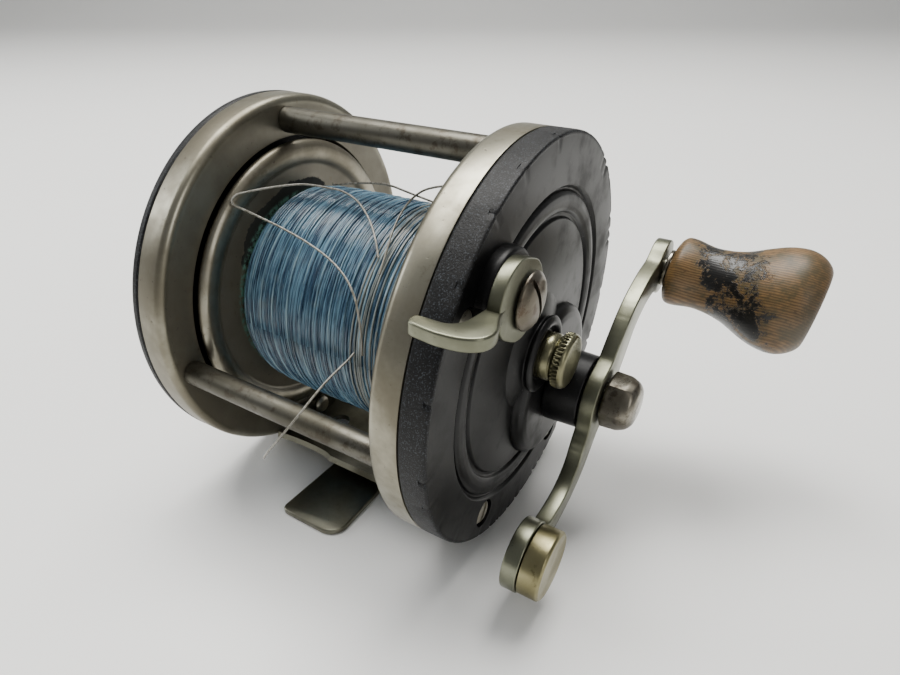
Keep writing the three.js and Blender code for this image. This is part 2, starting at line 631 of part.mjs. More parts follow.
// The arm sweeps in an S from the counterweight pad, round the hub, to the grip's eye.
function crankArm() {
  const hub = { y: 0, z: 0, r: 4.4 };
  const lower = [{ ...WEIGHT_PAD, r: 3.2 }, { y: -23, z: -18.6, r: 2.7 },
    { y: -14.5, z: -17.2, r: 2.5 }, { y: -8.6, z: -13.4, r: 2.9 },
    { y: -4.6, z: -7, r: 3.9 }, hub];
  const upper = [hub, { y: 6.2, z: 8, r: 4.4 }, { y: 11.2, z: 13.4, r: 3.6 },
    { y: 18, z: 16.6, r: 3.3 }, { y: 24, z: 17.5, r: 3.5 }, { ...GRIP_EYE, r: 4 }];
  const body = joined([
    plate(strapOutline(lower, 11), ARM_SPAN),
    plate(strapOutline(upper, 11), ARM_SPAN),
    rod(HUB_RADIUS, ...ARM_SPAN, 28),
    rod(GRIP_EYE.r, ...ARM_SPAN, 24, GRIP_EYE),
    rod(WEIGHT_PAD.r, ...ARM_SPAN, 28, WEIGHT_PAD),
  ]);
  return cut(body, [
    rod(2.7, 40, 50, 12), rod(2.3, 40, 50, 10, GRIP_EYE), rod(1.6, 40, 50, 8, WEIGHT_PAD)]);
}

function handleNut() {
  const dome = turned([[48.5, 0], [48.5, 5.8], [52.4, 5.5], [54, 4.9], [54.9, 3.8],
    [55.3, 2.2], [55.3, 0]], 18);
  const hexagon = rod(6, 48, 56, 6);
  return cut(dome.intersect(hexagon), [rod(2.4, 40, 52.6, 10)]);
}

place(crankAxis, 'crank_arm', crankArm(), crankNickel);
place(crankAxis, 'handle_nut', handleNut(), pewter);
place(crankAxis, 'counterweight', turned([[50.4, 0], [50.4, 1.6], [48.4, 1.6], [48.4, 6.9],
  [52.2, 6.9], [52.6, 6.4], [52.4, 0]], 28), brass, WEIGHT_PAD);
place(crankAxis, 'counterweight_rivet', turned([[44.4, 0], [44.4, 1.8], [44.9, 2.4],
  [45, 1.3], [50, 1.3], [50, 0]], 10), brass, WEIGHT_PAD);
place(gripAxis, 'grip_spindle', turned([[-2.9, 0], [-2.9, 1.9], [0.4, 1.9], [0.4, 3.8],
  [1.1, 3.8], [1.1, 2.2], [27.4, 2.2], [27.4, 3.4], [28.6, 3.2], [28.6, 0]], 12), wornSteel);

// The grip is turned in wood: a shouldered narrow end, a waist and a flared outer end.
place(gripAxis, 'wooden_grip', turned([[1.4, 2.5], [1.4, 5.2], [2, 6.4], [3.4, 7.3],
  [6.4, 7.1], [9.2, 6.8], [12.2, 7.1], [15.2, 7.9], [18.4, 9.3], [21.6, 10.5], [24.8, 11],
  [27.6, 10.5], [29.8, 9.1], [30.6, 7.6], [30.6, 3.8], [27.1, 3.8], [27.1, 2.5]], 20), wood);

// ---------------------------------------------------------------- click
const clickTurn = Math.atan2(-CLICK.z, -CLICK.y);

function clickButton() {
  return turned([[-32.9, 0], [-32.9, 3.4], [-34.6, 3.4], [-35.6, 2.4], [-35.9, 0]], 16)
    .add(rod(1.3, -33, -27.5, 10));
}

function clickPawl() {
  const tip = { y: 6.2 * Math.cos(clickTurn), z: 6.2 * Math.sin(clickTurn), r: 0.5 };
  return cut(plate(linkOutline({ y: 0, z: 0, r: 2.6 }, tip), [-28.1, -26.6]),
    [rod(1.6, -29, -27.2, 12)]);
}

function clickSpring() {
  const arm = (across) => [
    [-29.6, -9 * Math.cos(clickTurn) - across * Math.sin(clickTurn),
      -9 * Math.sin(clickTurn) + across * Math.cos(clickTurn)],
    [-29.6, 5 * Math.cos(clickTurn) - across * Math.sin(clickTurn),
      5 * Math.sin(clickTurn) + across * Math.cos(clickTurn)],
  ];
  const [leftBack, leftTip] = arm(3);
  const [rightBack, rightTip] = arm(-3);
  return wire([leftTip, leftBack, rightBack, rightTip], 0.7, 6, 24);
}

place(clickAxis, 'click_button', clickButton(), pewter);
place(clickAxis, 'click_pawl', clickPawl(), springSteel);
place(clickAxis, 'click_spring', clickSpring(), springSteel);

// ---------------------------------------------------------------- loose line
// Four free strands of the wound line, from the spool axis. Three stand clear of the windings,
// and the tag end hangs outside the thumb-side pillar.
const LOOP_ROUTE = [
  [9.1, -14.6, 18.4], [6.8, -12.2, 20.5], [3.3, -9.2, 22.7], [-1.6, -6.2, 24.4],
  [-6.1, -5.1, 25.3], [-9.6, -6, 25.7], [-13.2, -7.7, 26.1], [-15.8, -10.1, 26.1],
  [-18.2, -13.5, 26], [-20.2, -16.8, 25.8], [-21, -18.6, 25.6], [-21.2, -19.9, 24.9],
  [-20.7, -19.7, 23.9], [-19.4, -18.5, 22.9], [-16.6, -16.9, 21.3], [-11.9, -16.3, 20],
  [-5.7, -16.5, 18.5], [0.1, -17.5, 17], [4.8, -19, 15.1], [8, -20.7, 12.7],
  [9.8, -22.1, 10], [10.9, -23, 6.8], [11.2, -23.4, 3],
];
const OVER_ROUTE = [
  [-15.4, 3.2, 23.3], [-13.6, 1.2, 23.8], [-11.6, -0.4, 24.5], [-9.2, -1.4, 25.2],
  [-6.8, -1.4, 25.8], [-3.8, -0.8, 26.2], [-0.5, 0, 26.4], [2, 0.2, 26.3], [4.4, 0.3, 25.9],
  [6.6, 1, 25.2], [8.8, 1.8, 24.5], [11.2, 2.3, 23.9], [13.6, 2.4, 23.5], [15.6, 2.2, 23.3],
];
const ARC_ROUTE = [
  [11, -17, 16.5], [10.6, -15.4, 17.9], [10.1, -13.4, 19.5], [9.2, -10.4, 21.6],
  [8.4, -6.6, 23.7], [8.1, -2.6, 25.3], [9, 0.2, 26.5], [11.4, 1.2, 27.4], [14.4, 1.6, 28],
  [17.2, 3.8, 27.8], [19.4, 7.4, 26.8], [20.6, 11.4, 24.8], [20.7, 14.6, 21.8],
  [20, 16.6, 18.6], [18.8, 17.6, 15.8],
];
const TAG_ROUTE = [
  [9.4, -23.6, 3], [9.3, -25.2, 2.4], [9.3, -28.2, 1.9], [9.2, -31.6, 1.1], [8.9, -34.9, -0.3],
  [8.2, -38, -2.4], [6.8, -40.2, -5], [5, -41.2, -7.7], [3, -41.4, -10.4], [1.2, -41.2, -12.8],
  [0.2, -40.9, -14.2],
];

function strand(route, steps) {
  return wire(route, LINE_DIAMETER, 8, steps);
}

place(spoolAxis, 'loose_line_loop', strand(LOOP_ROUTE, 36), looseLine);
place(spoolAxis, 'loose_line_over', strand(OVER_ROUTE, 12), looseLine);
place(spoolAxis, 'loose_line_arc', strand(ARC_ROUTE, 18), looseLine);
place(spoolAxis, 'loose_line_tag', strand(TAG_ROUTE, 14), looseLine);

export default reel;
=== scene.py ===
"""Looks of a conventional multiplying reel: fine meshes and procedural materials on the CAD frame.

Lengths in the shape functions are millimetres, measured from the middle of the spool's axis:
X towards the handle, Y towards the rod tip, Z up. The frame itself is in metres.
"""

import json
import math

import bmesh
import bpy
from mathutils import Matrix, Vector, noise


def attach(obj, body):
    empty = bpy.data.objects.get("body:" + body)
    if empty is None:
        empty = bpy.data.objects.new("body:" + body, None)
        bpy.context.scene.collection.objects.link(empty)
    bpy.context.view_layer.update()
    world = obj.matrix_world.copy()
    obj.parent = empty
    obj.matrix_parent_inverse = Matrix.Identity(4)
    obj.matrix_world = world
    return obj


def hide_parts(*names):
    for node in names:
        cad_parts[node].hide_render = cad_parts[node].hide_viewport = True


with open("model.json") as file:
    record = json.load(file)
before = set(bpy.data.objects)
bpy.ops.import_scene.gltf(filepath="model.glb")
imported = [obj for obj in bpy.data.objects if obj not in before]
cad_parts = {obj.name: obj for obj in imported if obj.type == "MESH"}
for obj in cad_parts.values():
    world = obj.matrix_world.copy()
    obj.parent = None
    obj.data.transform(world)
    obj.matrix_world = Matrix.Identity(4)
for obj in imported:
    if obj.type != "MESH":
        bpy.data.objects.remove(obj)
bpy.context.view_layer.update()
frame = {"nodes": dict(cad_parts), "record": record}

MM = 0.001
AXIS = 40.8  # height of the spool's axis over the foot's underside
POST = (9.5, -11.7)  # crank axis
LEVER = (-19.4, 20.5)  # free-spool lever's pivot
GRIP_EYE = (29.9, 17.8)  # from the crank axis
WEIGHT_PAD = (-32.3, -17.4)
GRIP_TILT = math.radians(4)
CLICK = (-16.0, -11.0)
SCREW_ANGLES = (-119, -61, 147)
SCREW_CIRCLE = 34.4
PILLAR_CIRCLE = 35.6
LINE_DIAMETER = 0.42
PILLAR_RADIUS = 2.5
HEAD_RIM, HEAD_FRONT, HEAD_INNER = 40.0, 35.2, 33.3
TAIL_RIM, TAIL_FRONT, TAIL_INNER = 40.05, 31.9, 31.0
PLATE_BORE = 4.75  # radius round the bearing's neck
DRIVE_BORE = 6.25  # radius round the drive bush
COUNTERBORE = 3.1  # radius round a plate screw's head
RING_BEND = 1.6  # radius of the bend from the rings' wall to their front
CHIP_SEED = 3.1
SADDLE_END, SADDLE_OUTER, SADDLE_INNER = 23.9, 40.2, 38.8
FOOT_HOLE_X, FOOT_HOLE_RADIUS = 16.2, 2.6


def place(x, y, z):
    return (x * MM, y * MM, (z + AXIS) * MM)


def link(name, data):
    """A new object in the scene that shows data."""
    obj = bpy.data.objects.new(name, data)
    bpy.context.scene.collection.objects.link(obj)
    return obj


def polar(radius, degrees):
    angle = math.radians(degrees)
    return (radius * math.cos(angle), radius * math.sin(angle))


# ------------------------ camera
def add_camera():
    data = bpy.data.cameras.new("camera")
    data.sensor_width = 36
    data.lens = 24.978
    data.shift_x = 0.0425
    data.shift_y = 0.0625
    data.clip_start = 0.005
    data.clip_end = 20
    camera = link("camera", data)
    right = Vector((0.83662, 0.54778, -0.00107))
    up = Vector((-0.31539, 0.4833, 0.81667))
    back = Vector((0.44787, -0.68291, 0.5771))
    turn = Matrix((right, up, back)).transposed().to_4x4()
    camera.matrix_world = Matrix.Translation(place(72.231, -99.974, 63.326)) @ turn
    bpy.context.scene.camera = camera


add_camera()


# ------------------------ material helpers
class Shader:
    """A Principled material with a few short ways to make nodes."""

    def __init__(self, name, **sockets):
        self.material = bpy.data.materials.new(name)
        self.material.use_nodes = True
        self.tree = self.material.node_tree
        self.surface = self.tree.nodes["Principled BSDF"]
        for socket, value in sockets.items():
            self.surface.inputs[socket.replace("_", " ")].default_value = value
        self.point = self.tree.nodes.new("ShaderNodeTexCoord").outputs["Object"]

    def add(self, kind, settings=None, **inputs):
        node = self.tree.nodes.new(kind)
        for key, value in (settings or {}).items():
            setattr(node, key, value)
        for key, value in inputs.items():
            self.feed(node.inputs[key.replace("_", " ")], value)
        return node

    def feed(self, socket, value):
        if isinstance(value, bpy.types.NodeSocket):
            self.tree.links.new(value, socket)
        else:
            socket.default_value = value

    def math(self, operation, a, b=0.0, c=0.0, clamp=False):
        node = self.tree.nodes.new("ShaderNodeMath")
        node.operation = operation
        node.use_clamp = clamp
        for socket, value in zip(node.inputs, (a, b, c)):
            self.feed(socket, value)
        return node.outputs[0]

    def times(self, a, b, clamp=False):
        return self.math("MULTIPLY", a, b, clamp=clamp)

    def plus(self, a, b, clamp=False):
        return self.math("ADD", a, b, clamp=clamp)

    def minus(self, a, b, clamp=False):
        return self.math("SUBTRACT", a, b, clamp=clamp)

    def noise(self, scale, detail=4.0, rough=0.55, vector=None, distort=0.0):
        node = self.add("ShaderNodeTexNoise", Scale=scale, Detail=detail, Roughness=rough,
                        Distortion=distort, Vector=vector or self.point)
        return node.outputs["Fac"]

    def ramp(self, value, low, high):
        """0 below low, 1 above high, smooth between."""
        node = self.add("ShaderNodeMapRange", {"interpolation_type": "SMOOTHSTEP"}, Value=value,
                        From_Min=low, From_Max=high)
        return node.outputs[0]

    def mix(self, amount, first, second):
        node = self.tree.nodes.new("ShaderNodeMix")
        node.data_type = "RGBA"
        self.feed(node.inputs[0], amount)
        for socket, value in ((node.inputs[6], first), (node.inputs[7], second)):
            self.feed(socket, value if isinstance(value, bpy.types.NodeSocket) else (*value, 1))
        return node.outputs[2]

    def level(self, amount, low, high):
        """A number that runs from low to high as amount runs from 0 to 1."""
        return self.math("MULTIPLY_ADD", amount, high - low, low)

    def about_axis(self, centre, along=1.0, across=1.0, round_about=0.02):
        """Coordinates that follow turning marks: place on X, radius, and a little of the angle."""
        parts = self.add("ShaderNodeSeparateXYZ", Vector=self.point).outputs
        y = self.math("SUBTRACT", parts[1], centre[0] * MM)
        z = self.math("SUBTRACT", parts[2], (centre[1] + AXIS) * MM)
        radius = self.math("SQRT", self.math("ADD", self.math("MULTIPLY", y, y),
                                             self.math("MULTIPLY", z, z)))
        angle = self.math("ARCTAN2", z, y)
        joined = self.add("ShaderNodeCombineXYZ", X=self.math("MULTIPLY", parts[0], along),
                          Y=self.math("MULTIPLY", radius, across),
                          Z=self.math("MULTIPLY", angle, round_about * MM * 30))
        return joined.outputs[0], radius, angle, parts[0]

    def colour(self, value):
        self.feed(self.surface.inputs["Base Color"], value)

    def roughness(self, value):
        self.feed(self.surface.inputs["Roughness"], value)

    def bump(self, height, strength, distance):
        node = self.add("ShaderNodeBump", Height=height)
        node.inputs["Strength"].default_value = strength
        node.inputs["Distance"].default_value = distance * MM
        self.tree.links.new(node.outputs[0], self.surface.inputs["Normal"])


def aged_metal(name, bright, dull, stain, rough=(0.3, 0.5), turned_about=None, stain_from=0.6):
    """Worn metal: a bright base, broad tarnish, small stains, pits and fine marks."""
    shader = Shader(name, Metallic=1.0)
    broad = shader.ramp(shader.noise(90, 5), 0.36, 0.66)
    spots = shader.ramp(shader.noise(420, 8, 0.7), stain_from, stain_from + 0.14)
    pits = shader.ramp(shader.noise(1500, 2, 0.5), 0.68, 0.8)
    base = shader.mix(broad, bright, dull)
    base = shader.mix(shader.times(spots, 0.7), base, stain)
    base = shader.mix(shader.times(pits, 0.55), base,
                      tuple(0.35 * c for c in stain))
    if turned_about is None:
        marks = shader.noise(2600, 3, 0.6)
    else:
        vector = shader.about_axis(turned_about)[0]
        marks = shader.noise(5200, 3, 0.6, vector)
    shader.colour(base)
    worn = shader.plus(shader.times(marks, 0.22),
                       shader.times(broad, 0.78), clamp=True)
    shader.roughness(shader.level(worn, *rough))
    height = shader.minus(shader.times(marks, 0.35), pits)
    shader.bump(height, 0.5, 0.03)
    return shader.material


def ring_metal(name, bright, dull, green_from=None):
    """Turned nickel silver with concentric marks, brown tarnish, pits and, on a flange, old
    corrosion where wet line lay against it."""
    shader = Shader(name, Metallic=1.0)
    vector, radius, angle, _ = shader.about_axis((0, 0))
    marks = shader.noise(4200, 4, 0.65, vector)
    broad = shader.ramp(shader.noise(48, 5, 0.6), 0.38, 0.64)
    pits = shader.ramp(shader.noise(1100, 3, 0.55), 0.66, 0.76)
    freckles = shader.ramp(shader.noise(330, 8, 0.72), 0.57, 0.7)
    base = shader.mix(broad, bright, dull)
    # Fingers keep the outermost surfaces bright; the faces they can't reach go brown.
    handled = (37.6, 38.9) if green_from is None else (26.9, 28.2)
    sheltered = shader.minus(1.0, shader.ramp(radius, handled[0] * MM, handled[1] * MM))
    base = shader.mix(shader.times(sheltered, 0.72), base, (0.11, 0.098, 0.072))
    base = shader.mix(shader.times(freckles, 0.45), base, (0.13, 0.105, 0.065))
    base = shader.mix(shader.times(pits, 0.6), base, (0.06, 0.05, 0.04))
    rough = shader.level(shader.plus(shader.times(marks, 0.3),
                                     shader.times(broad, 0.6), clamp=True), 0.26, 0.52)
    height = shader.minus(shader.times(marks, 0.3), pits)
    bare = shader.minus(1.0, shader.times(sheltered, 0.45))
    shader.feed(shader.surface.inputs["Metallic"], bare)
    if green_from is not None:
        patchy = shader.noise(230, 8, 0.7)
        near = shader.minus(1.0, shader.ramp(radius, 20.5 * MM, green_from * MM))
        # Wet line lay against the top of the flange. The angle runs up from the rod's side.
        side = shader.times(shader.ramp(angle, 0.9, 1.4),
                            shader.minus(1.0, shader.ramp(angle, 1.9, 3.1)))
        crust = shader.plus(shader.times(patchy, 0.6),
                            shader.times(shader.times(near, side), 0.6))
        crust = shader.times(shader.ramp(crust, 0.5, 0.54), shader.ramp(side, 0, 0.1))
        base = shader.mix(crust, base, (0.014, 0.015, 0.012))
        edge = shader.minus(1.0, shader.ramp(radius, 20.6 * MM, 21.5 * MM))
        edge = shader.times(edge, shader.ramp(shader.noise(900, 6, 0.7), 0.4, 0.6))
        base = shader.mix(edge, base, (0.12, 0.27, 0.21))
        crust = shader.plus(crust, edge, clamp=True)
        rough = shader.plus(rough, shader.times(crust, 0.4), clamp=True)
        bare = shader.times(bare, shader.minus(1.0, crust))
        shader.feed(shader.surface.inputs["Metallic"], bare)
        height = shader.plus(height, shader.times(crust, 1.6))
    shader.colour(base)
    shader.roughness(rough)
    shader.bump(height, 0.55, 0.035)
    return shader.material


def moulded_rubber():
    """Black hard rubber: smooth and dusty on the face, finely pitted on the rim."""
    shader = Shader("black_moulding", Metallic=0.0, Specular_IOR_Level=0.24)
    vector, radius, _, _ = shader.about_axis((0, 0))
    rim = shader.ramp(radius, 39.15 * MM, 39.5 * MM)
    pebble = shader.noise(3000, 3, 0.6)
    sweep = shader.noise(900, 5, 0.6, vector)
    dust = shader.ramp(shader.noise(130, 6, 0.62), 0.45, 0.78)
    base = shader.mix(dust, (0.0035, 0.0035, 0.0038), (0.0125, 0.012, 0.0115))
    specks = shader.ramp(shader.noise(2300, 2, 0.5), 0.68, 0.73)
    base = shader.mix(shader.times(specks, 0.22), base, (0.11, 0.115, 0.12))
    sparkle = shader.times(shader.ramp(shader.noise(4200, 2, 0.5), 0.56, 0.66), rim)
    base = shader.mix(shader.times(sparkle, 0.36), base, (0.1, 0.115, 0.135))
    shader.colour(base)
    shader.roughness(shader.plus(shader.level(dust, 0.36, 0.58),
                                 shader.times(rim, 0.12), clamp=True))
    height = shader.plus(shader.times(sweep, 0.12),
                         shader.times(shader.times(pebble, rim), 1.4))
    shader.bump(height, 0.6, 0.09)
    return shader.material


def line_material(name, deep, pale, warm, green_edge=False):
    """Nylon line. Each turn differs a little from the next, and turns against the tail flange
    may have taken up its green corrosion."""
    shader = Shader(name, Roughness=0.24, IOR=1.5, Specular_IOR_Level=0.75)
    vector, _, _, along = shader.about_axis((0, 0), 1.0, 1.0, 0.05)
    turns = shader.noise(1700, 2, 0.6, vector)
    drift = shader.noise(160, 3, 0.5)
    base = shader.mix(shader.ramp(turns, 0.36, 0.68), deep, pale)
    base = shader.mix(shader.times(shader.ramp(drift, 0.55, 0.75), 0.5), base, warm)
    if green_edge:
        near = shader.ramp(shader.times(along, -1.0), 20.9 * MM, 22.2 * MM)
        patchy = shader.ramp(shader.noise(420, 5, 0.65), 0.4, 0.56)
        base = shader.mix(shader.times(near, patchy), base, (0.11, 0.36, 0.3))
    shader.colour(base)
    shader.bump(shader.noise(6000, 2, 0.5), 0.15, 0.02)
    return shader.material


def painted_wood():
    """Turned wood with fine curved grain, an olive-brown stain and what is left of its paint."""
    shader = Shader("worn_grip_wood", Specular_IOR_Level=0.45)
    parts = shader.add("ShaderNodeSeparateXYZ", Vector=shader.point).outputs
    warp = shader.noise(70, 3, 0.5)
    stretched = shader.add("ShaderNodeMapping", Vector=shader.point, Scale=(0.2, 1.0, 1.0),
                           Rotation=(0.0, 0.0, 0.22)).outputs[0]
    grain = shader.add("ShaderNodeTexWave", {"wave_type": "RINGS", "rings_direction": "X"},
                       Vector=stretched, Scale=640.0, Distortion=4.0, Detail=3.0,
                       Detail_Scale=1.4).outputs["Fac"]
    pores = shader.noise(2600, 4, 0.7, stretched)
    wood = shader.mix(grain, (0.23, 0.135, 0.052), (0.1, 0.056, 0.022))
    wood = shader.mix(shader.times(shader.ramp(pores, 0.54, 0.68), 0.6), wood,
                      (0.045, 0.026, 0.012))
    stain = shader.ramp(shader.noise(170, 8, 0.72), 0.4, 0.6)
    wood = shader.mix(shader.times(stain, 0.8), wood, (0.052, 0.046, 0.021))
    outer = shader.ramp(parts[0], 72 * MM, 78 * MM)
    wood = shader.mix(shader.times(outer, 0.45), wood, (0.05, 0.034, 0.018))
    # The paint is left in a band that slants across the neck; hands have bared the rest.
    slant = shader.plus(parts[0], shader.times(parts[2], 0.5))
    middle = (63.5 + 0.5 * (AXIS + 8)) * MM
    band = shader.times(shader.ramp(slant, middle - 13 * MM, middle - 3 * MM),
                        shader.minus(1.0,
                                     shader.ramp(slant, middle + 1 * MM, middle + 12 * MM)))
    patches = shader.noise(210, 10, 0.8, distort=0.5)
    bias = shader.minus(shader.times(band, 0.24), 0.11)
    paint = shader.ramp(shader.plus(patches, bias), 0.56, 0.6)
    scuff = shader.ramp(shader.noise(900, 5, 0.75), 0.6, 0.66)
    paint = shader.times(paint, shader.minus(1.0, scuff))
    shader.colour(shader.mix(paint, wood, (0.01, 0.0095, 0.009)))
    shader.roughness(shader.level(paint, 0.46, 0.28))
    height = shader.minus(shader.times(paint, 0.6),
                          shader.times(shader.plus(grain, pores), 0.18))
    shader.bump(shader.plus(height, shader.times(warp, 0.4)), 0.6, 0.08)
    return shader.material


RING = ring_metal("ring_nickel_silver", (0.33, 0.315, 0.25), (0.17, 0.155, 0.115))
FLANGE = ring_metal("flange_nickel_silver", (0.36, 0.34, 0.275), (0.2, 0.18, 0.135), 25.4)
FOOT = aged_metal("foot_nickel_silver", (0.22, 0.215, 0.17), (0.12, 0.115, 0.085),
                  (0.07, 0.06, 0.04))
PILLAR = aged_metal("pillar_steel", (0.115, 0.11, 0.092), (0.085, 0.08, 0.062),
                    (0.05, 0.04, 0.028), (0.36, 0.52), None, 0.5)
SCREW = aged_metal("screw_steel", (0.6, 0.58, 0.5), (0.4, 0.37, 0.3), (0.07, 0.05, 0.035))
CRANK = aged_metal("crank_nickel_silver", (0.22, 0.225, 0.165), (0.14, 0.142, 0.1),
                   (0.07, 0.07, 0.04), (0.27, 0.45))
CAP = aged_metal("cap_nickel_brass", (0.27, 0.26, 0.165), (0.17, 0.16, 0.095), (0.06, 0.05, 0.028),
                 (0.24, 0.4))
WEIGHT = aged_metal("weight_brass", (0.31, 0.28, 0.155), (0.19, 0.17, 0.085), (0.07, 0.058, 0.028),
                    (0.27, 0.45), (POST[0] + WEIGHT_PAD[0], POST[1] + WEIGHT_PAD[1]))
LEVER_SCREW = aged_metal("lever_screw_worn", (0.22, 0.2, 0.165), (0.12, 0.105, 0.08),
                         (0.07, 0.045, 0.03), (0.26, 0.45), None, 0.5)
NUT = aged_metal("nut_pewter", (0.36, 0.34, 0.29), (0.15, 0.135, 0.105), (0.045, 0.035, 0.025),
                 (0.18, 0.4), None, 0.5)
STEEL = aged_metal("inner_steel", (0.55, 0.55, 0.54), (0.4, 0.39, 0.37), (0.15, 0.12, 0.1))
BRASS = aged_metal("inner_brass", (0.62, 0.5, 0.25), (0.45, 0.35, 0.16), (0.18, 0.13, 0.06))
RUBBER = moulded_rubber()
WOOD = painted_wood()
WINDING = line_material("wound_line", (0.012, 0.042, 0.085), (0.13, 0.25, 0.34),
                        (0.15, 0.19, 0.2), True)
SILK_LINE = line_material("silk_line", (0.05, 0.12, 0.18), (0.25, 0.38, 0.45), (0.2, 0.24, 0.24))
OLD_LINE = line_material("old_line", (0.09, 0.115, 0.12), (0.26, 0.28, 0.26), (0.19, 0.165, 0.13))
LOOSE = line_material("loose_line", (0.14, 0.13, 0.1), (0.3, 0.29, 0.25), (0.2, 0.17, 0.12))


# ------------------------ shape helpers
def add_piece(name, verts, faces, look, body, slot, nodes=(), sharp=38.0, turn=None):
    """A mesh piece that rides on a body and stands for CAD nodes."""
    mesh = bpy.data.meshes.new(name)
    points = [Vector(place(*v)) for v in verts]
    if turn is not None:
        points = [turn @ p for p in points]
    mesh.from_pydata(points, [], faces)
    obj = link(name, mesh)
    mesh.materials.append(look)
    finish_mesh(mesh, sharp)
    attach(obj, body)
    if nodes:
        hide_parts(*nodes)
    return obj


def finish_mesh(mesh, sharp):
    mesh.validate()
    mesh.update()
    mesh.shade_smooth()
    mesh.set_sharp_from_angle(angle=math.radians(sharp))


def bake(obj, sharp=38.0):
    """Makes the result of the modifiers the object's own mesh."""
    graph = bpy.context.evaluated_depsgraph_get()
    mesh = bpy.data.meshes.new_from_object(obj.evaluated_get(graph))
    obj.modifiers.clear()
    obj.data = mesh
    finish_mesh(mesh, sharp)


def fix_normals(obj):
    """Turns every face of a closed mesh outwards."""
    mesh = bmesh.new()
    mesh.from_mesh(obj.data)
    bmesh.ops.recalc_face_normals(mesh, faces=mesh.faces)
    mesh.to_mesh(obj.data)
    mesh.free()


def combine(obj, others, operation, sharp=38.0):
    """Joins temporary pieces to obj, or cuts them out of it."""
    look = obj.data.materials[0]
    bpy.context.view_layer.update()
    for other in others:
        modifier = obj.modifiers.new("combine", "BOOLEAN")
        modifier.operation = operation
        modifier.object = other
        modifier.solver = "EXACT"
    bpy.context.view_layer.update()
    bake(obj, sharp)
    for other in others:
        bpy.data.objects.remove(other)
    obj.data.materials.clear()
    obj.data.materials.append(look)


def cut_away(obj, cutters, sharp=38.0):
    combine(obj, cutters, "DIFFERENCE", sharp)


def soften(points, radius, steps=3):
    """Rounds the inner corners of an open profile."""
    smooth = [tuple(points[0])]
    for before, corner, after in zip(points, points[1:], points[2:]):
        middle = Vector(corner)
        back = Vector(before) - middle
        ahead = Vector(after) - middle
        reach = min(radius, 0.46 * back.length, 0.46 * ahead.length)
        start = middle + back.normalized() * reach
        end = middle + ahead.normalized() * reach
        for i in range(steps + 1):
            t = i / steps
            smooth.append(tuple(start * (1 - t) ** 2 + middle * 2 * t * (1 - t) + end * t * t))
    smooth.append(tuple(points[-1]))
    return smooth


def revolve(profile, segments, centre=(0, 0), shape=None, closed=False):
    """Vertices and faces of a profile of (x, radius) turned about X. shape moves each point."""
    verts = []
    faces = []
    rows = []
    for x, radius in profile:
        if radius < 1e-6:
            rows.append([len(verts)] * segments)
            verts.append((x, centre[0], centre[1]))
            continue
        row = []
        for i in range(segments):
            angle = 2 * math.pi * i / segments
            at_x, at_r = shape(x, radius, angle) if shape else (x, radius)
            row.append(len(verts))
            verts.append((at_x, centre[0] + at_r * math.cos(angle),
                          centre[1] + at_r * math.sin(angle)))
        rows.append(row)
    if closed:
        rows.append(rows[0])
    rising = sum((b[0] - a[0]) * (a[1] + b[1]) for a, b in zip(profile, profile[1:]))
    if closed:
        rising += (profile[0][0] - profile[-1][0]) * (profile[0][1] + profile[-1][1])
    for row, following in zip(rows, rows[1:]):
        for i in range(segments):
            j = (i + 1) % segments
            corners = [row[i], row[j], following[j], following[i]]
            face = list(dict.fromkeys(corners))
            if len(face) > 2:
                faces.append(face if rising < 0 else face[::-1])
    return verts, faces


def turned(name, profile, segments, look, body, slot, nodes=(), centre=(0, 0), shape=None,
           closed=False, sharp=38.0, turn=None):
    verts, faces = revolve(profile, segments, centre, shape, closed)
    return add_piece(name, verts, faces, look, body, slot, nodes, sharp, turn)


def mirrored(profile):
    return [(-x, radius) for x, radius in profile]


def cylinder(radius, start, end, centre, segments=32):
    """A temporary solid to cut with."""
    verts, faces = revolve([(start, 0), (start, radius), (end, radius), (end, 0)], segments, centre)
    return cutter(verts, faces)


def cutter(verts, faces):
    mesh = bpy.data.meshes.new("cutter")
    mesh.from_pydata([place(*v) for v in verts], [], faces)
    obj = link("cutter", mesh)
    fix_normals(obj)
    return obj


def slot_cutter(x, centre, half_length, half_width, depth, degrees):
    """A temporary box for a screwdriver slot in the face at x."""
    along = Vector(polar(1, degrees))
    across = Vector((-along.y, along.x))
    verts = []
    for at_x in (x - depth, x + depth):
        for a, b in ((-1, -1), (1, -1), (1, 1), (-1, 1)):
            flat = Vector(centre) + along * a * half_length + across * b * half_width
            verts.append((at_x, flat.x, flat.y))
    faces = [(0, 3, 2, 1), (4, 5, 6, 7), (0, 1, 5, 4), (1, 2, 6, 5), (2, 3, 7, 6), (3, 0, 4, 7)]
    return cutter(verts, faces)


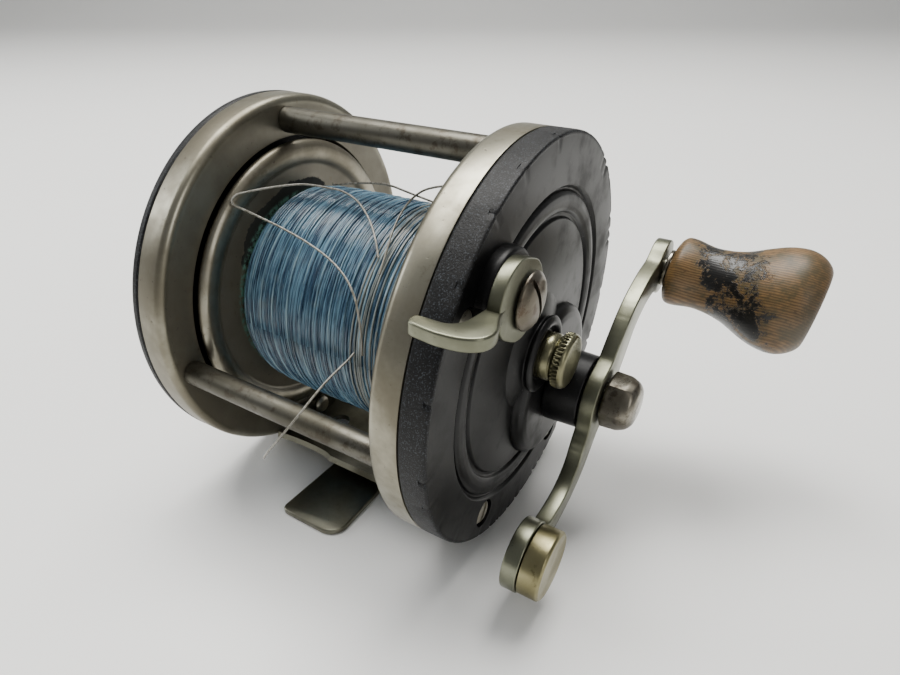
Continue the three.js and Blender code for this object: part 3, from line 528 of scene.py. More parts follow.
def contour(field, low, high, step):
    """The closed outline where field(u, v) is zero, by marching squares. One loop is expected."""
    across = int((high[0] - low[0]) / step) + 1
    up = int((high[1] - low[1]) / step) + 1
    grid = [[field(low[0] + i * step, low[1] + j * step) for j in range(up + 1)]
            for i in range(across + 1)]

    def crossing(a, b):
        t = grid[a[0]][a[1]] / (grid[a[0]][a[1]] - grid[b[0]][b[1]])
        return (low[0] + step * (a[0] + t * (b[0] - a[0])),
                low[1] + step * (a[1] + t * (b[1] - a[1])))

    links = {}
    points = {}
    for i in range(across):
        for j in range(up):
            corners = [(i, j), (i + 1, j), (i + 1, j + 1), (i, j + 1)]
            entries = []
            for k in range(4):
                a, b = corners[k], corners[(k + 1) % 4]
                if (grid[a[0]][a[1]] < 0) != (grid[b[0]][b[1]] < 0):
                    key = (min(a, b), max(a, b))
                    points[key] = crossing(a, b)
                    entries.append((key, grid[a[0]][a[1]] < 0))
            if len(entries) == 2:
                entries.sort(key=lambda entry: not entry[1])
                links[entries[0][0]] = entries[1][0]
    loop = []
    key = next(iter(links))
    while key in links:
        loop.append(points[key])
        key = links.pop(key)
    kept = []
    for point in loop:
        if not kept or (Vector(point) - Vector(kept[-1])).length > 0.35 * step:
            kept.append(point)
    if (Vector(kept[0]) - Vector(kept[-1])).length < 0.35 * step:
        kept.pop()
    return kept


def area_of(outline):
    return 0.5 * sum(a[0] * b[1] - b[0] * a[1]
                     for a, b in zip(outline, outline[1:] + outline[:1]))


def plate_mesh(outline, low, high, edge, place_point, steps=3):
    """A flat plate with rounded edges. place_point puts (u, v, w) in the frame, w along the
    thickness. The rounding moves each outline point in along its own normal."""
    if area_of(outline) < 0:
        outline = outline[::-1]
    count = len(outline)
    normals = []
    for i in range(count):
        ahead = Vector(outline[(i + 1) % count]) - Vector(outline[i - 1])
        normals.append(Vector((ahead.y, -ahead.x)).normalized())
    levels = []
    for i in range(steps + 1):
        angle = 0.5 * math.pi * i / steps
        levels.append((low + edge * (1 - math.sin(angle)), edge * (1 - math.cos(angle))))
    levels = levels[::-1]
    levels += [(low + high - w, inset) for w, inset in reversed(levels)]
    verts = []
    for w, inset in levels:
        for point, normal in zip(outline, normals):
            verts.append(place_point(point[0] - normal.x * inset, point[1] - normal.y * inset, w))
    faces = []
    for level in range(len(levels) - 1):
        for i in range(count):
            j = (i + 1) % count
            base = level * count
            faces.append((base + i, base + j, base + count + j, base + count + i))
    faces.append(tuple(range(count))[::-1])
    top = (len(levels) - 1) * count
    faces.append(tuple(top + i for i in range(count)))
    return verts, faces


def hull_field(first, second):
    """Signed distance to the hull of two circles (u, v, radius)."""
    a, b = Vector(first[:2]), Vector(second[:2])
    span = (b - a).length
    ratio = (first[2] - second[2]) / span

    def field(u, v):
        point = Vector((u, v)) - a
        along = point.dot((b - a) / span)
        across = abs(point.cross((b - a) / span))
        lean = across * ratio / math.sqrt(1 - ratio * ratio)
        t = min(max((along - lean) / span, 0.0), 1.0)
        centre = a.lerp(b, t)
        return (Vector((u, v)) - centre).length - (first[2] + (second[2] - first[2]) * t)

    return field


def blend_min(a, b, k):
    """The smaller of two distances, with a fillet of about k where they meet."""
    h = max(k - abs(a - b), 0.0) / k
    return min(a, b) - h * h * k * 0.25


def catmull(stations, samples):
    """A smooth curve through the stations, of any dimension."""
    points = [Vector(s) for s in stations]
    points = [2 * points[0] - points[1], *points, 2 * points[-1] - points[-2]]
    curve = []
    for p0, p1, p2, p3 in zip(points, points[1:], points[2:], points[3:]):
        for i in range(samples):
            t = i / samples
            curve.append(0.5 * (2 * p1 + (p2 - p0) * t + (2 * p0 - 5 * p1 + 4 * p2 - p3) * t * t
                                + (3 * p1 - 3 * p2 + p3 - p0) * t ** 3))
    curve.append(points[-2])
    return curve


def tube_mesh(points, radius, sides):
    """A tube with flat ends along a list of points. Returns vertices and faces."""
    verts = []
    faces = []
    normal = Vector((0, 0, 1))
    count = len(points)
    for i, point in enumerate(points):
        along = (points[min(i + 1, count - 1)] - points[max(i - 1, 0)]).normalized()
        normal = (normal - along * normal.dot(along)).normalized()
        side = along.cross(normal)
        for k in range(sides):
            angle = 2 * math.pi * k / sides
            verts.append(point + radius * (math.cos(angle) * normal + math.sin(angle) * side))
    for i in range(count - 1):
        for k in range(sides):
            j = (k + 1) % sides
            faces.append((i * sides + k, i * sides + j, (i + 1) * sides + j, (i + 1) * sides + k))
    faces.append(tuple(range(sides))[::-1])
    faces.append(tuple((count - 1) * sides + k for k in range(sides)))
    return verts, faces


# ------------------------ loose line
LOOP_ROUTE = [
    (9.1, -14.6, 18.4), (6.8, -12.2, 20.5), (3.3, -9.2, 22.7), (-1.6, -6.2, 24.4),
    (-6.1, -5.1, 25.3), (-9.6, -6, 25.7), (-13.2, -7.7, 26.1), (-15.8, -10.1, 26.1),
    (-18.2, -13.5, 26), (-20.2, -16.8, 25.8), (-21, -18.6, 25.6), (-21.2, -19.9, 24.9),
    (-20.7, -19.7, 23.9), (-19.4, -18.5, 22.9), (-16.6, -16.9, 21.3), (-11.9, -16.3, 20),
    (-5.7, -16.5, 18.5), (0.1, -17.5, 17), (4.8, -19, 15.1), (8, -20.7, 12.7),
    (9.8, -22.1, 10), (10.9, -23, 6.8), (11.2, -23.4, 3),
]
OVER_ROUTE = [
    (-15.4, 3.2, 23.3), (-13.6, 1.2, 23.8), (-11.6, -0.4, 24.5), (-9.2, -1.4, 25.2),
    (-6.8, -1.4, 25.8), (-3.8, -0.8, 26.2), (-0.5, 0, 26.4), (2, 0.2, 26.3), (4.4, 0.3, 25.9),
    (6.6, 1, 25.2), (8.8, 1.8, 24.5), (11.2, 2.3, 23.9), (13.6, 2.4, 23.5), (15.6, 2.2, 23.3),
]
ARC_ROUTE = [
    (11, -17, 16.5), (10.6, -15.4, 17.9), (10.1, -13.4, 19.5), (9.2, -10.4, 21.6),
    (8.4, -6.6, 23.7), (8.1, -2.6, 25.3), (9, 0.2, 26.5), (11.4, 1.2, 27.4), (14.4, 1.6, 28),
    (17.2, 3.8, 27.8), (19.4, 7.4, 26.8), (20.6, 11.4, 24.8), (20.7, 14.6, 21.8),
    (20, 16.6, 18.6), (18.8, 17.6, 15.8),
]
TAG_ROUTE = [
    (9.4, -23.6, 3), (9.3, -25.2, 2.4), (9.3, -28.2, 1.9), (9.2, -31.6, 1.1), (8.9, -34.9, -0.3),
    (8.2, -38, -2.4), (6.8, -40.2, -5), (5, -41.2, -7.7), (3, -41.4, -10.4),
    (1.2, -41.2, -12.8), (0.2, -40.9, -14.2),
]


def loose_strand(name, route):
    """One free strand as a round curve."""
    points = catmull(route, 6)
    curve = bpy.data.curves.new(name, "CURVE")
    curve.dimensions = "3D"
    curve.bevel_depth = 0.5 * LINE_DIAMETER * MM
    curve.bevel_resolution = 3
    curve.use_fill_caps = True
    spline = curve.splines.new("POLY")
    spline.points.add(len(points) - 1)
    for slot, point in zip(spline.points, points):
        slot.co = (*place(*point), 1)
    spline.use_smooth = True
    obj = link(name, curve)
    curve.materials.append(LOOSE)
    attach(obj, "frame")
    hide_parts("loose_line_" + name.split("_")[-1])


loose_strand("strand_loop", LOOP_ROUTE)
loose_strand("strand_over", OVER_ROUTE)
loose_strand("strand_arc", ARC_ROUTE)
loose_strand("strand_tag", TAG_ROUTE)


# ------------------------ rings
def ring_profile():
    bend = RING_BEND
    shoulder = [(24 + bend - bend * math.cos(a), 40 - bend + bend * math.sin(a))
                for a in (0.5 * math.pi * i / 10 for i in range(11))]
    start = [(24.3, 32.1), (24.08, 32.18), (24, 32.4)]
    return [*start, *shoulder, (29.75, 40), (29.93, 39.94), (30, 39.75), (30, 38), (26, 38),
            (26, 32.1)]


turned("ring_head", ring_profile(), 224, RING, "frame", "nickel_silver", ["head_ring"],
       closed=True)
turned("ring_tail", mirrored(ring_profile()), 224, RING, "frame", "nickel_silver",
       ["tail_ring"], closed=True)


# ------------------------ side plates
def interpolate(table, value):
    """The table's second value at a first value, on straight lines between its rows."""
    for (x0, y0), (x1, y1) in zip(table, table[1:]):
        if value <= x1:
            return y0 + (y1 - y0) * max(0.0, (value - x0) / (x1 - x0))
    return table[-1][1]


def chip(angle):
    """How far the worn edge is broken away at an angle, from 0 to about 1."""
    at = Vector((9 * math.cos(angle), 9 * math.sin(angle), CHIP_SEED))
    rough = noise.fractal(at * 2.6, 0.7, 2.1, 6)
    return max(0.0, rough - 0.34) ** 0.8


def plate_piece(name, side, face, rim, front, inner, wear, node):
    """A moulded side plate turned from its face profile, from the bore outwards."""
    edge = soften([(front, rim - 3), (front, rim - 0.1), (front - 0.9, rim), (30.5, rim)], 0.4, 4)
    back = [(30.1, rim - 0.25), (30.1, 31.4), (inner, 31.4), (inner, PLATE_BORE)]
    profile = [*soften(face, 0.22, 3), *edge, *back]

    def shape(x, radius, angle):
        lost = wear * chip(angle)
        if x < front - 1.2 or radius < rim - 0.9:
            lost = 0.0
        return side * (x - 0.7 * lost), radius - 0.5 * lost

    verts, faces = revolve(profile, 360, (0, 0), shape, True)
    piece = add_piece(name, verts, faces, RUBBER, "frame", "hard_rubber", [node], 30)
    fix_normals(piece)
    return piece


HEAD_FACE = [(36.9, PLATE_BORE), (36.95, 5.0), (37.4, 5.5), (37.8, 6.1), (37.9, 6.7), (37.65, 7.4),
             (37.2, 7.8), (36.8, 7.7), (36.4, 7.3), (36.1, 7.45), (35.9, 8.2), (35.6, 9.4),
             (35.2, 10.6), (34.8, 11.6), (34.8, 25.2), (34.1, 25.5), (34.1, 26.2), (34.85, 26.6),
             (35.15, 27.4), (35.25, 28.4), (35.1, 29.4), (34.7, 30), (34.15, 30.15),
             (34.15, 30.6), (35.2, 31.1), (35.2, 36.9)]
TAIL_FACE = [(34.6, PLATE_BORE), (35.2, 5.6), (35.4, 6.4), (35.2, 7.2), (34.4, 7.7), (33.9, 8.2),
             (33.5, 9.4), (33.1, 10.6), (32.6, 11.6), (32.6, 25.2), (31.8, 25.5), (31.8, 26.4),
             (32.15, 27.1), (32.35, 28.3), (32.15, 29.5), (31.5, 30.2), (31.9, 31.4), (31.9, 36.8)]
GEAR_BOSS = [(34, DRIVE_BORE), (37.25, DRIVE_BORE), (37.2, 14.2), (36.9, 15.4),
             (36.2, 16.3), (35.2, 16.75),
             (34, 16.8)]
LEVER_BOSS = [(34, 2.5), (37.6, 2.5), (37.6, 6.9), (37.3, 7.4), (36.6, 7.6), (34, 7.7)]


def make_head_plate():
    plate = plate_piece("plate_head", 1, HEAD_FACE, HEAD_RIM, HEAD_FRONT, HEAD_INNER, 1.0,
                        "head_plate")
    bosses = [cutter(*revolve(soften(profile, 0.3), segments, centre, None, True))
              for profile, segments, centre in ((GEAR_BOSS, 160, POST), (LEVER_BOSS, 96, LEVER))]
    combine(plate, bosses, "UNION", 30)
    holes = [cylinder(COUNTERBORE, 33.8, 39, polar(SCREW_CIRCLE, degrees), 40)
             for degrees in SCREW_ANGLES]
    holes.append(cylinder(DRIVE_BORE, 33, 39, POST, 72))
    holes.append(cylinder(PLATE_BORE, 33, 39, (0, 0), 72))
    cut_away(plate, holes, 30)


make_head_plate()
plate_piece("plate_tail", -1, TAIL_FACE, TAIL_RIM, TAIL_FRONT, TAIL_INNER, 0.0, "tail_plate")


def plate_screw(name, side, seat, top, centre, degrees, node):
    profile = soften([(seat, 0), (seat, 2.6), (top - 0.35, 2.6), (top, 1.8), (top + 0.05, 0)], 0.25)
    if side < 0:
        profile = mirrored(profile)
    screw = turned(name, profile, 40, SCREW, "frame", "steel", [node], centre)
    cut_away(screw, [slot_cutter(side * (top + 0.1), centre, 4, 0.55, 0.85, degrees)])


for i, degrees in enumerate(SCREW_ANGLES, 1):
    spot = polar(SCREW_CIRCLE, degrees)
    plate_screw(f"plate_screw_head_{i}", 1, 33.9, 35.05, spot, 60 * i, f"head_plate_screw_{i}")
    plate_screw(f"plate_screw_tail_{i}", -1, 31.6, 32.75, spot, 50 * i, f"tail_plate_screw_{i}")

# ------------------------ pillars
for name, degrees in (("top", 90), ("thumb_side", 191), ("line_side", -11)):
    spot = polar(PILLAR_CIRCLE, degrees)
    profile = soften([(-23.9, 0), (-23.9, PILLAR_RADIUS - 0.2), (-23.6, PILLAR_RADIUS),
                      (23.6, PILLAR_RADIUS), (23.9, PILLAR_RADIUS - 0.2), (23.9, 0)], 0.2)
    turned(f"rod_{name}", profile, 56, PILLAR, "frame", "steel",
           [f"pillar_{name}", f"pillar_screw_{name}"], spot)


# ------------------------ foot
def foot_outline():
    """The blade in plan: a slight waist, and corners filed rounder on the handle's side."""
    waist, half, end = 7.1, 7.8, 32.0
    outline = []
    for sx, sy in ((1, 1), (-1, 1), (-1, -1), (1, -1)):
        corner = 4.1 if sx > 0 else 1.6
        arc = []
        for i in range(9):
            angle = 0.5 * math.pi * i / 8
            arc.append((sx * (half - corner + corner * math.cos(angle)),
                        sy * (end - corner + corner * math.sin(angle))))
        if sx * sy < 0:
            arc.reverse()
        if (sx, sy) == (-1, -1):
            outline.append((-waist, 0))
        outline += arc
    outline.append((waist, 0))
    return outline


def saddle_half_width(x):
    """Half width of the saddle along Y at a place on X."""
    return interpolate([(0, 15.6), (7.1, 15.6), (8, 15), (9.5, 14.55), (12, 14.25), (15, 14.2),
                        (18, 14.4), (21, 14.8), (23.9, 15.4)], abs(x))


def saddle_mesh():
    """The sheet that hugs the rings under the reel: a part of a tube, flat underneath."""
    columns, rows = 96, 40
    verts = []
    for radius in (SADDLE_OUTER, SADDLE_INNER):
        for i in range(columns + 1):
            x = -SADDLE_END + 2 * SADDLE_END * i / columns
            half = math.asin(saddle_half_width(x) / 40)
            for j in range(rows + 1):
                angle = -0.5 * math.pi + half * (2 * j / rows - 1)
                verts.append((x, radius * math.cos(angle),
                              max(radius * math.sin(angle), -SADDLE_OUTER)))
    sheet = (columns + 1) * (rows + 1)
    faces = []
    for i in range(columns):
        for j in range(rows):
            a = i * (rows + 1) + j
            b = a + rows + 1
            faces.append((a, a + 1, b + 1, b))
            faces.append((sheet + a, sheet + b, sheet + b + 1, sheet + a + 1))
    rim = [i * (rows + 1) for i in range(columns + 1)]
    rim += [columns * (rows + 1) + j for j in range(1, rows + 1)]
    rim += [i * (rows + 1) + rows for i in range(columns - 1, -1, -1)]
    rim += list(range(rows - 1, 0, -1))
    for a, b in zip(rim, rim[1:] + rim[:1]):
        faces.append((a, b, sheet + b, sheet + a))
    return verts, faces


def tab_mesh(side):
    """The foot's tab against one ring's outside."""
    outer, inner = side * SADDLE_END, side * 22.7
    verts, faces = [], []
    steps = 24
    for x in (outer, inner):
        for radius in (33.2, 39.9):
            for i in range(steps + 1):
                half = 14.5 if radius < 35 else 18.2
                angle = math.radians(-90 + half * (2 * i / steps - 1))
                verts.append((x, radius * math.cos(angle), radius * math.sin(angle)))
    row = steps + 1
    for i in range(steps):
        faces.append((i, i + 1, row + i + 1, row + i))
        faces.append((2 * row + i, 3 * row + i, 3 * row + i + 1, 2 * row + i + 1))
        faces.append((i, 2 * row + i, 2 * row + i + 1, i + 1))
        faces.append((row + i, row + i + 1, 3 * row + i + 1, 3 * row + i))
    faces.append((0, row, 3 * row, 2 * row))
    faces.append((steps, 2 * row + steps, 3 * row + steps, row + steps))
    return verts, faces


def make_foot():
    verts, faces = plate_mesh(foot_outline(), -AXIS, -AXIS + 1.4, 0.35, lambda u, v, w: (u, v, w))
    foot = add_piece("foot_stamping", verts, faces, FOOT, "frame", "nickel_silver", ["foot"], 40)
    combine(foot, [cutter(*shape) for shape in (saddle_mesh(), tab_mesh(1), tab_mesh(-1))],
            "UNION", 40)
    drills = []
    for x in (-FOOT_HOLE_X, FOOT_HOLE_X):
        verts = [(x + FOOT_HOLE_RADIUS * math.cos(a), FOOT_HOLE_RADIUS * math.sin(a), z)
                 for z in (-45, -30) for a in (2 * math.pi * i / 40 for i in range(40))]
        faces = [(i, (i + 1) % 40, 40 + (i + 1) % 40, 40 + i) for i in range(40)]
        faces += [tuple(range(40))[::-1], tuple(range(40, 80))]
        drills.append(cutter(verts, faces))
    cut_away(foot, drills, 40)


make_foot()
for side, name in ((1, "head"), (-1, "tail")):
    profile = soften([(21.2, 0), (21.25, 1.7), (21.9, 2.3), (22.6, 2.3), (22.6, 0)], 0.3)
    profile = [(side * x, radius) for x, radius in profile]
    turned(f"saddle_screw_{name}", profile, 32, SCREW, "frame", "steel",
           [f"foot_screw_{name}"], polar(PILLAR_CIRCLE, -90))

# ------------------------ spool
FLANGE_PROFILE = soften([
    (22.95, 2.1), (22.95, 26.4), (22.2, 27.2), (21.72, 28.7), (21.95, 30.3), (22.7, 31.2),
    (23.6, 31.4), (24.25, 30.9), (24.3, 29.8), (23.9, 29.1), (23.9, 2.1)], 0.7, 4)
for side, name in ((1, "head"), (-1, "tail")):
    profile = FLANGE_PROFILE if side > 0 else mirrored(FLANGE_PROFILE)
    turned(f"flange_{name}", profile, 192, FLANGE, "spool", "nickel_silver",
           [f"spool_flange_{name}"], closed=True)


PACK_SHAPE = [(-22.8, 19.3), (-22.2, 20.2), (-21.5, 21), (-20.6, 21.6), (-19.5, 22.05),
              (-16, 22.5), (-12, 22.7), (-6, 22.85), (0, 22.9), (7, 22.9), (14, 22.8),
              (18, 22.55), (20.5, 22.2), (22.8, 21.5)]


def helix(start, end, pitch, lift, phase, seed, stray):
    """Centre line of one layer of line on the pack, from start to end on X."""
    per_turn = 44
    turns = abs(end - start) / abs(pitch)
    count = int(turns * per_turn)
    points = []
    for i in range(count + 1):
        t = i / count
        angle = phase + math.copysign(1, pitch) * 2 * math.pi * turns * t
        x = start + (end - start) * t
        wander = noise.noise(Vector((x * 0.9, angle * 0.35, seed)))
        x = min(max(x + stray * wander, -22.5), 22.5)
        sway = noise.noise(Vector((angle * 0.7, x * 0.4, seed + 5)))
        radius = interpolate(PACK_SHAPE, x) - 0.24 + lift + 0.09 * sway
        points.append(Vector((x, radius * math.cos(angle), radius * math.sin(angle))))
    return points


def line_pack():
    core = [(-22.7, 5.6), *((max(-22.7, min(22.7, x)), r - 0.3) for x, r in PACK_SHAPE),
            (22.7, 5.6)]
    turned("line_core", core, 128, WINDING, "spool", "windings", ["line_pack"], closed=True)
    # start, end, pitch, lift, phase, seed, stray, look
    layers = [(-22.5, 22.4, 0.43, 0.0, 0.4, 1.0, 0.4, WINDING),
              (-22.4, 22.2, 1.25, 0.14, 1.7, 2.5, 0.8, WINDING),
              (22.1, -22.1, -2.1, 0.22, 2.1, 4.0, 0.7, WINDING),
              (-21.5, 20.6, 3.6, 0.26, 5.0, 9.0, 0.9, SILK_LINE),
              (22.2, 7.4, -0.9, 0.27, 3.0, 12.0, 1.1, OLD_LINE),
              (9.2, 21.8, 2.4, 0.36, 0.9, 15.0, 1.4, OLD_LINE)]
    for i, (*course, look) in enumerate(layers, 1):
        tube = tube_mesh(helix(*course), 0.5 * LINE_DIAMETER, 6)
        add_piece(f"line_layer_{i}", *tube, look, "spool", "windings", (), 80)


line_pack()

# ------------------------ bearings
def threaded_neck(side, inner, end, node, name):
    """The bearing's neck: a collar, a groove, a plain band and a fine thread for the cap."""
    band = end - 3.7
    profile = [(inner, 2.2), (inner, 4.6), (band - 0.2, 4.65), (band - 0.15, 4.42),
               (band + 0.05, 4.42), (band + 0.1, 4.7), (band + 1.3, 4.66), (band + 1.5, 4.4)]
    x = band + 1.7
    while x < end - 0.4:
        profile += [(x, 4.32), (x + 0.13, 4.5)]
        x += 0.26
    profile += [(end, 4.3), (end, 2.2)]
    if side < 0:
        profile = mirrored(profile)
    turned(name, profile, 96, CAP, "frame", "brass", [node], closed=True, sharp=60)


def knurled_cap(side, mouth, end, body, node, name):
    flutes = 40

    def shape(x, radius, angle):
        place_on = abs(x)
        if not (mouth + 0.2 < place_on < mouth + 1.45 and radius > 5.2):
            return x, radius
        wave = 0.5 + 0.5 * math.cos(flutes * angle)
        return x, radius - 0.36 * (1 - wave ** 0.7)

    profile = [(mouth, 4.9), (mouth, 5.2), (mouth + 0.15, 5.4), (mouth + 0.3, 5.5),
               *((mouth + 0.3 + 0.28 * i, 5.5) for i in range(1, 4)), (mouth + 1.3, 5.5),
               (mouth + 1.5, 5.46), (mouth + 1.75, 5.38), (mouth + 2.1, 5.2), (end - 0.18, 4.9),
               (end - 0.1, 4.75), (end - 0.03, 4.2), (end, 2.5), (end + 0.02, 0)]
    profile = [(mouth + 1.5, 0), (mouth + 1.5, 4.9), *profile]
    if side < 0:
        profile = mirrored(profile)
    turned(name, profile, 8 * flutes, CAP, body, "brass", [node], shape=shape, sharp=50)


threaded_neck(1, 33.4, 41.85, "head_bushing", "neck_head")
threaded_neck(-1, 31.1, 37.95, "tail_bushing", "neck_tail")
knurled_cap(1, 40.55, 43.0, "head_cap", "head_bearing_cap", "cap_head")
knurled_cap(-1, 36.65, 39.1, "tail_cap", "tail_bearing_cap", "cap_tail")

# ------------------------ crank
turned("crank_bush", soften([(33.5, 3.5), (33.5, 6), (37.5, 6), (37.5, 8), (44.75, 7.8),
                             (44.75, 3.5)], 0.3), 96, RUBBER, "frame", "hard_rubber",
       ["drive_bush"], POST, closed=True)


def crank_field():
    """Distance to the arm's outline, measured from the crank axis."""
    chain = [(*WEIGHT_PAD, 3.2), (-23, -18.6, 2.7), (-14.5, -17.2, 2.5), (-8.6, -13.4, 2.9),
             (-4.6, -7, 3.9), (0, 0, 4.6), (6.2, 8, 4.4), (11.2, 13.4, 3.6), (18, 16.6, 3.3),
             (24, 17.5, 3.5), (*GRIP_EYE, 4)]
    path = catmull(chain, 5)
    spans = [(a, b, (b - a).xy.length_squared) for a, b in zip(path, path[1:])]
    rounds = [(0, 0, 7.6), (*GRIP_EYE, 5.9), (*WEIGHT_PAD, 7.15)]

    def field(u, v):
        best = 1e9
        for a, b, square in spans:
            du, dv = b.x - a.x, b.y - a.y
            t = min(max(((u - a.x) * du + (v - a.y) * dv) / square, 0.0), 1.0)
            gap = math.hypot(u - a.x - t * du, v - a.y - t * dv) - (a.z + (b.z - a.z) * t)
            best = min(best, gap)
        for cu, cv, radius in rounds:
            best = blend_min(best, math.hypot(u - cu, v - cv) - radius, 1.6)
        return best

    return field


arm_outline = contour(crank_field(), (-41, -27), (37.5, 25.5), 0.5)
verts, faces = plate_mesh(arm_outline, 45.1, 48.2, 0.3,
                          lambda u, v, w: (w, u + POST[0], v + POST[1]), 4)
arm = add_piece("crank_arm_casting", verts, faces, CRANK, "crank", "crank_nickel", ["crank_arm"],
                40)
fix_normals(arm)


def nut_shape(x, radius, angle):
    """Rounds the flats of a worn hexagon into a dome."""
    flat = math.cos(math.pi / 6) / math.cos((angle % (math.pi / 3)) - math.pi / 6)
    amount = max(0.0, min(1.0, (54.2 - x) / 2.5)) * 0.75
    return x, radius * (1 - amount + amount * flat * 1.04)


turned("crank_nut", soften([(48.5, 0), (48.5, 5.3), (48.9, 5.75), (52.3, 5.6), (53.9, 5),
                            (54.8, 3.9), (55.15, 2.4), (55.2, 0)], 0.5, 4), 120, NUT, "crank",
       "pewter", ["handle_nut"], POST, nut_shape)
pad = (POST[0] + WEIGHT_PAD[0], POST[1] + WEIGHT_PAD[1])
turned("weight_disc", soften([(48.4, 0), (48.4, 6.9), (52.1, 6.9), (52.55, 6.45), (52.4, 5),
                              (52.35, 0)], 0.2, 4), 96, WEIGHT, "crank", "brass",
       ["counterweight"], pad)
turned("weight_rivet", soften([(44.3, 0), (44.35, 1.6), (44.8, 2.4), (45.05, 2.4), (45.05, 0)],
                              0.4), 40, WEIGHT, "crank", "brass", ["counterweight_rivet"], pad)

# ------------------------ grip
grip_at = (POST[0] + GRIP_EYE[0], POST[1] + GRIP_EYE[1])
pivot = Vector(place(48.2, *grip_at))
droop = Matrix.Translation(pivot) @ Matrix.Rotation(GRIP_TILT, 4, "Y") @ Matrix.Translation(-pivot)


def grip_shape(x, radius, angle):
    lump = noise.noise(Vector((x * 0.12, 2.2 * math.cos(angle), 2.2 * math.sin(angle))))
    return x, radius * (1 + 0.012 * lump)


GRIP_PROFILE = [(49.6, 5.2), (49.75, 5.6), (50.3, 6.7), (51.3, 7.35), (53.2, 7.3), (55.4, 6.9),
                (57.4, 6.75), (60.4, 7.05), (63.4, 7.85), (66.6, 9.25), (69.8, 10.45),
                (72.6, 10.95), (74.6, 10.85), (76.4, 10.2), (77.8, 9.2), (78.6, 8.2),
                (78.85, 7.2), (78.85, 3.8)]
smooth_profile = [(p.x, p.y) for p in catmull([(x, r) for x, r in GRIP_PROFILE], 4)]
grip_profile = [(49.6, 2.5), *smooth_profile, (75.3, 3.8), (75.3, 2.5)]
turned("grip_turning", grip_profile, 112, WOOD, "grip", "wood", ["wooden_grip"], grip_at,
       grip_shape, True, 50, droop)
turned("grip_ferrule", soften([(48.55, 2.2), (48.55, 4), (49.2, 4), (49.3, 3.8),
                               (49.3, 2.2)], 0.2), 64, NUT, "crank", "steel", (), grip_at,
       None, True, 40, droop)
turned("grip_pin", soften([(45.3, 0), (45.3, 1.9), (48.5, 1.9), (48.5, 2.2), (75.6, 2.2),
                           (75.6, 3.4), (76.5, 3.3), (76.8, 2.4), (76.8, 0)], 0.3), 48, SCREW,
       "crank", "steel", ["grip_spindle"], grip_at, None, False, 40, droop)

# ------------------------ free-spool lever
head_outline = contour(hull_field((LEVER[0] - 0.8, LEVER[1] + 0.2, 6.5),
                                  (LEVER[0] - 3.1, LEVER[1] + 1.3, 6.3)),
                       (-33, 11), (-10, 31), 0.4)
verts, faces = plate_mesh(head_outline, 38.0, 40.2, 0.22, lambda u, v, w: (w, u, v), 3)
lever = add_piece("lever_casting", verts, faces, CRANK, "lever", "crank_nickel",
                  ["free_spool_lever"], 40)
fix_normals(lever)
thumb_stations = [(40.2, -25.4), (40.3, -28.4), (41, -30.5), (42, -32.6), (42.2, -34.4),
                  (41.6, -36), (40.2, -37.2), (38.2, -37.9), (35, -38.2), (31.2, -37.7),
                  (30.3, -37.3), (30.1, -36.4), (30.3, -35.3), (31.2, -35), (35.2, -35),
                  (36.6, -34), (37.2, -32.4), (37.5, -30), (37.9, -27), (38, -25.4)]
thumb_outline = soften([*thumb_stations, thumb_stations[0]], 0.9, 3)[:-1]
verts, faces = plate_mesh(thumb_outline, 20.1, 22.4, 0.4, lambda u, v, w: (u, v, w), 3)
combine(lever, [cutter(verts, faces)], "UNION", 40)

dome = turned("lever_screw_dome", soften([(40.5, 0), (40.5, 4.75), (41, 4.7), (41.8, 3.8),
                                          (42.3, 2), (42.4, 0)], 0.7, 5), 96, LEVER_SCREW,
              "lever", "brass", ["lever_screw"], LEVER)
cut_away(dome, [slot_cutter(42.6, LEVER, 7, 0.42, 1.3, 112)])

# ------------------------ click button
turned("click_knob", soften([(-32.9, 0), (-32.9, 3.4), (-34.5, 3.4), (-35.6, 2.5), (-35.9, 0)],
                            0.6, 4), 64, NUT, "click", "pewter", ["click_button"], CLICK)

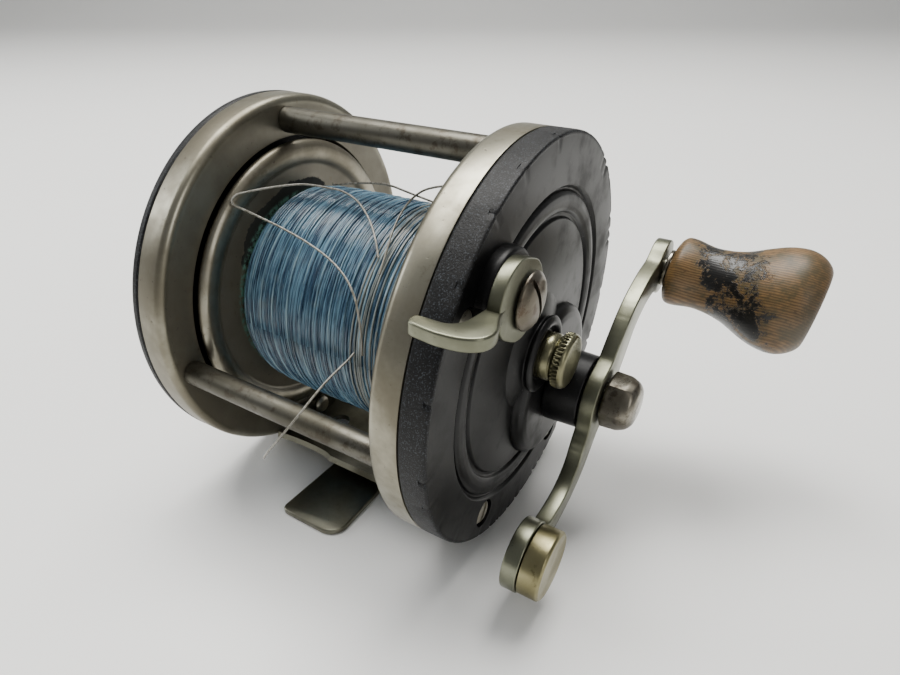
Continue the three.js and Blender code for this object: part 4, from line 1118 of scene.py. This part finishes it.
# ------------------------ CAD nodes that stay
LOOKS = {"nickel_silver": RING, "hard_rubber": RUBBER, "steel": STEEL, "crank_nickel": CRANK,
         "brass": BRASS, "pewter": NUT, "wood": WOOD, "windings": WINDING, "loose_line": LOOSE}
slots = {part["node"]: part["material_slot"] for part in frame["record"]["subparts"]}
for node, obj in frame["nodes"].items():
    for material_slot in obj.material_slots:
        material_slot.material = LOOKS[slots[node]]


# ------------------------ floor, backdrop and light
def add_stage():
    verts, faces = [], []
    rows = [(-2.5, 0.0), (1.1, 0.0)]
    for i in range(1, 13):
        angle = 0.5 * math.pi * i / 12
        rows.append((1.1 + 0.5 * math.sin(angle), 0.5 * (1 - math.cos(angle))))
    rows.append((1.6, 3.0))
    for y, z in rows:
        verts += [(-4, y, z), (4, y, z)]
    for i in range(len(rows) - 1):
        faces.append((2 * i, 2 * i + 1, 2 * i + 3, 2 * i + 2))
    mesh = bpy.data.meshes.new("backdrop")
    mesh.from_pydata(verts, [], faces)
    mesh.shade_smooth()
    obj = link("backdrop", mesh)
    obj.rotation_euler = (0, 0, math.radians(33))
    shader = Shader("pale_floor", Roughness=0.55)
    shader.colour(shader.mix(shader.noise(6, 2), (0.9, 0.9, 0.885), (0.94, 0.94, 0.925)))
    mesh.materials.append(shader.material)


def add_light(name, position, target, size, power, colour):
    data = bpy.data.lights.new(name, "AREA")
    data.shape = "RECTANGLE"
    data.size, data.size_y = size
    data.energy = power
    data.color = colour
    obj = link(name, data)
    obj.location = position
    aim = Vector(target) - Vector(position)
    obj.rotation_euler = aim.to_track_quat("-Z", "Y").to_euler()


add_stage()
add_light("overhead", (-0.2, 0.22, 0.95), (0, 0, 0.04), (0.95, 0.5), 19.0, (1.0, 0.985, 0.95))
add_light("side_window", (-0.8, -0.3, 0.5), (0, 0, 0.04), (0.35, 0.5), 3.4, (0.97, 0.985, 1.0))
add_light("right_fill", (0.75, -0.35, 0.45), (0.02, 0, 0.04), (0.25, 0.5), 1.3, (1.0, 0.98, 0.95))
world = bpy.data.worlds.new("room")
bpy.context.scene.world = world
world.use_nodes = True
sky = world.node_tree.nodes["Background"].inputs
sky[0].default_value = (0.78, 0.79, 0.8, 1)
sky[1].default_value = 0.3
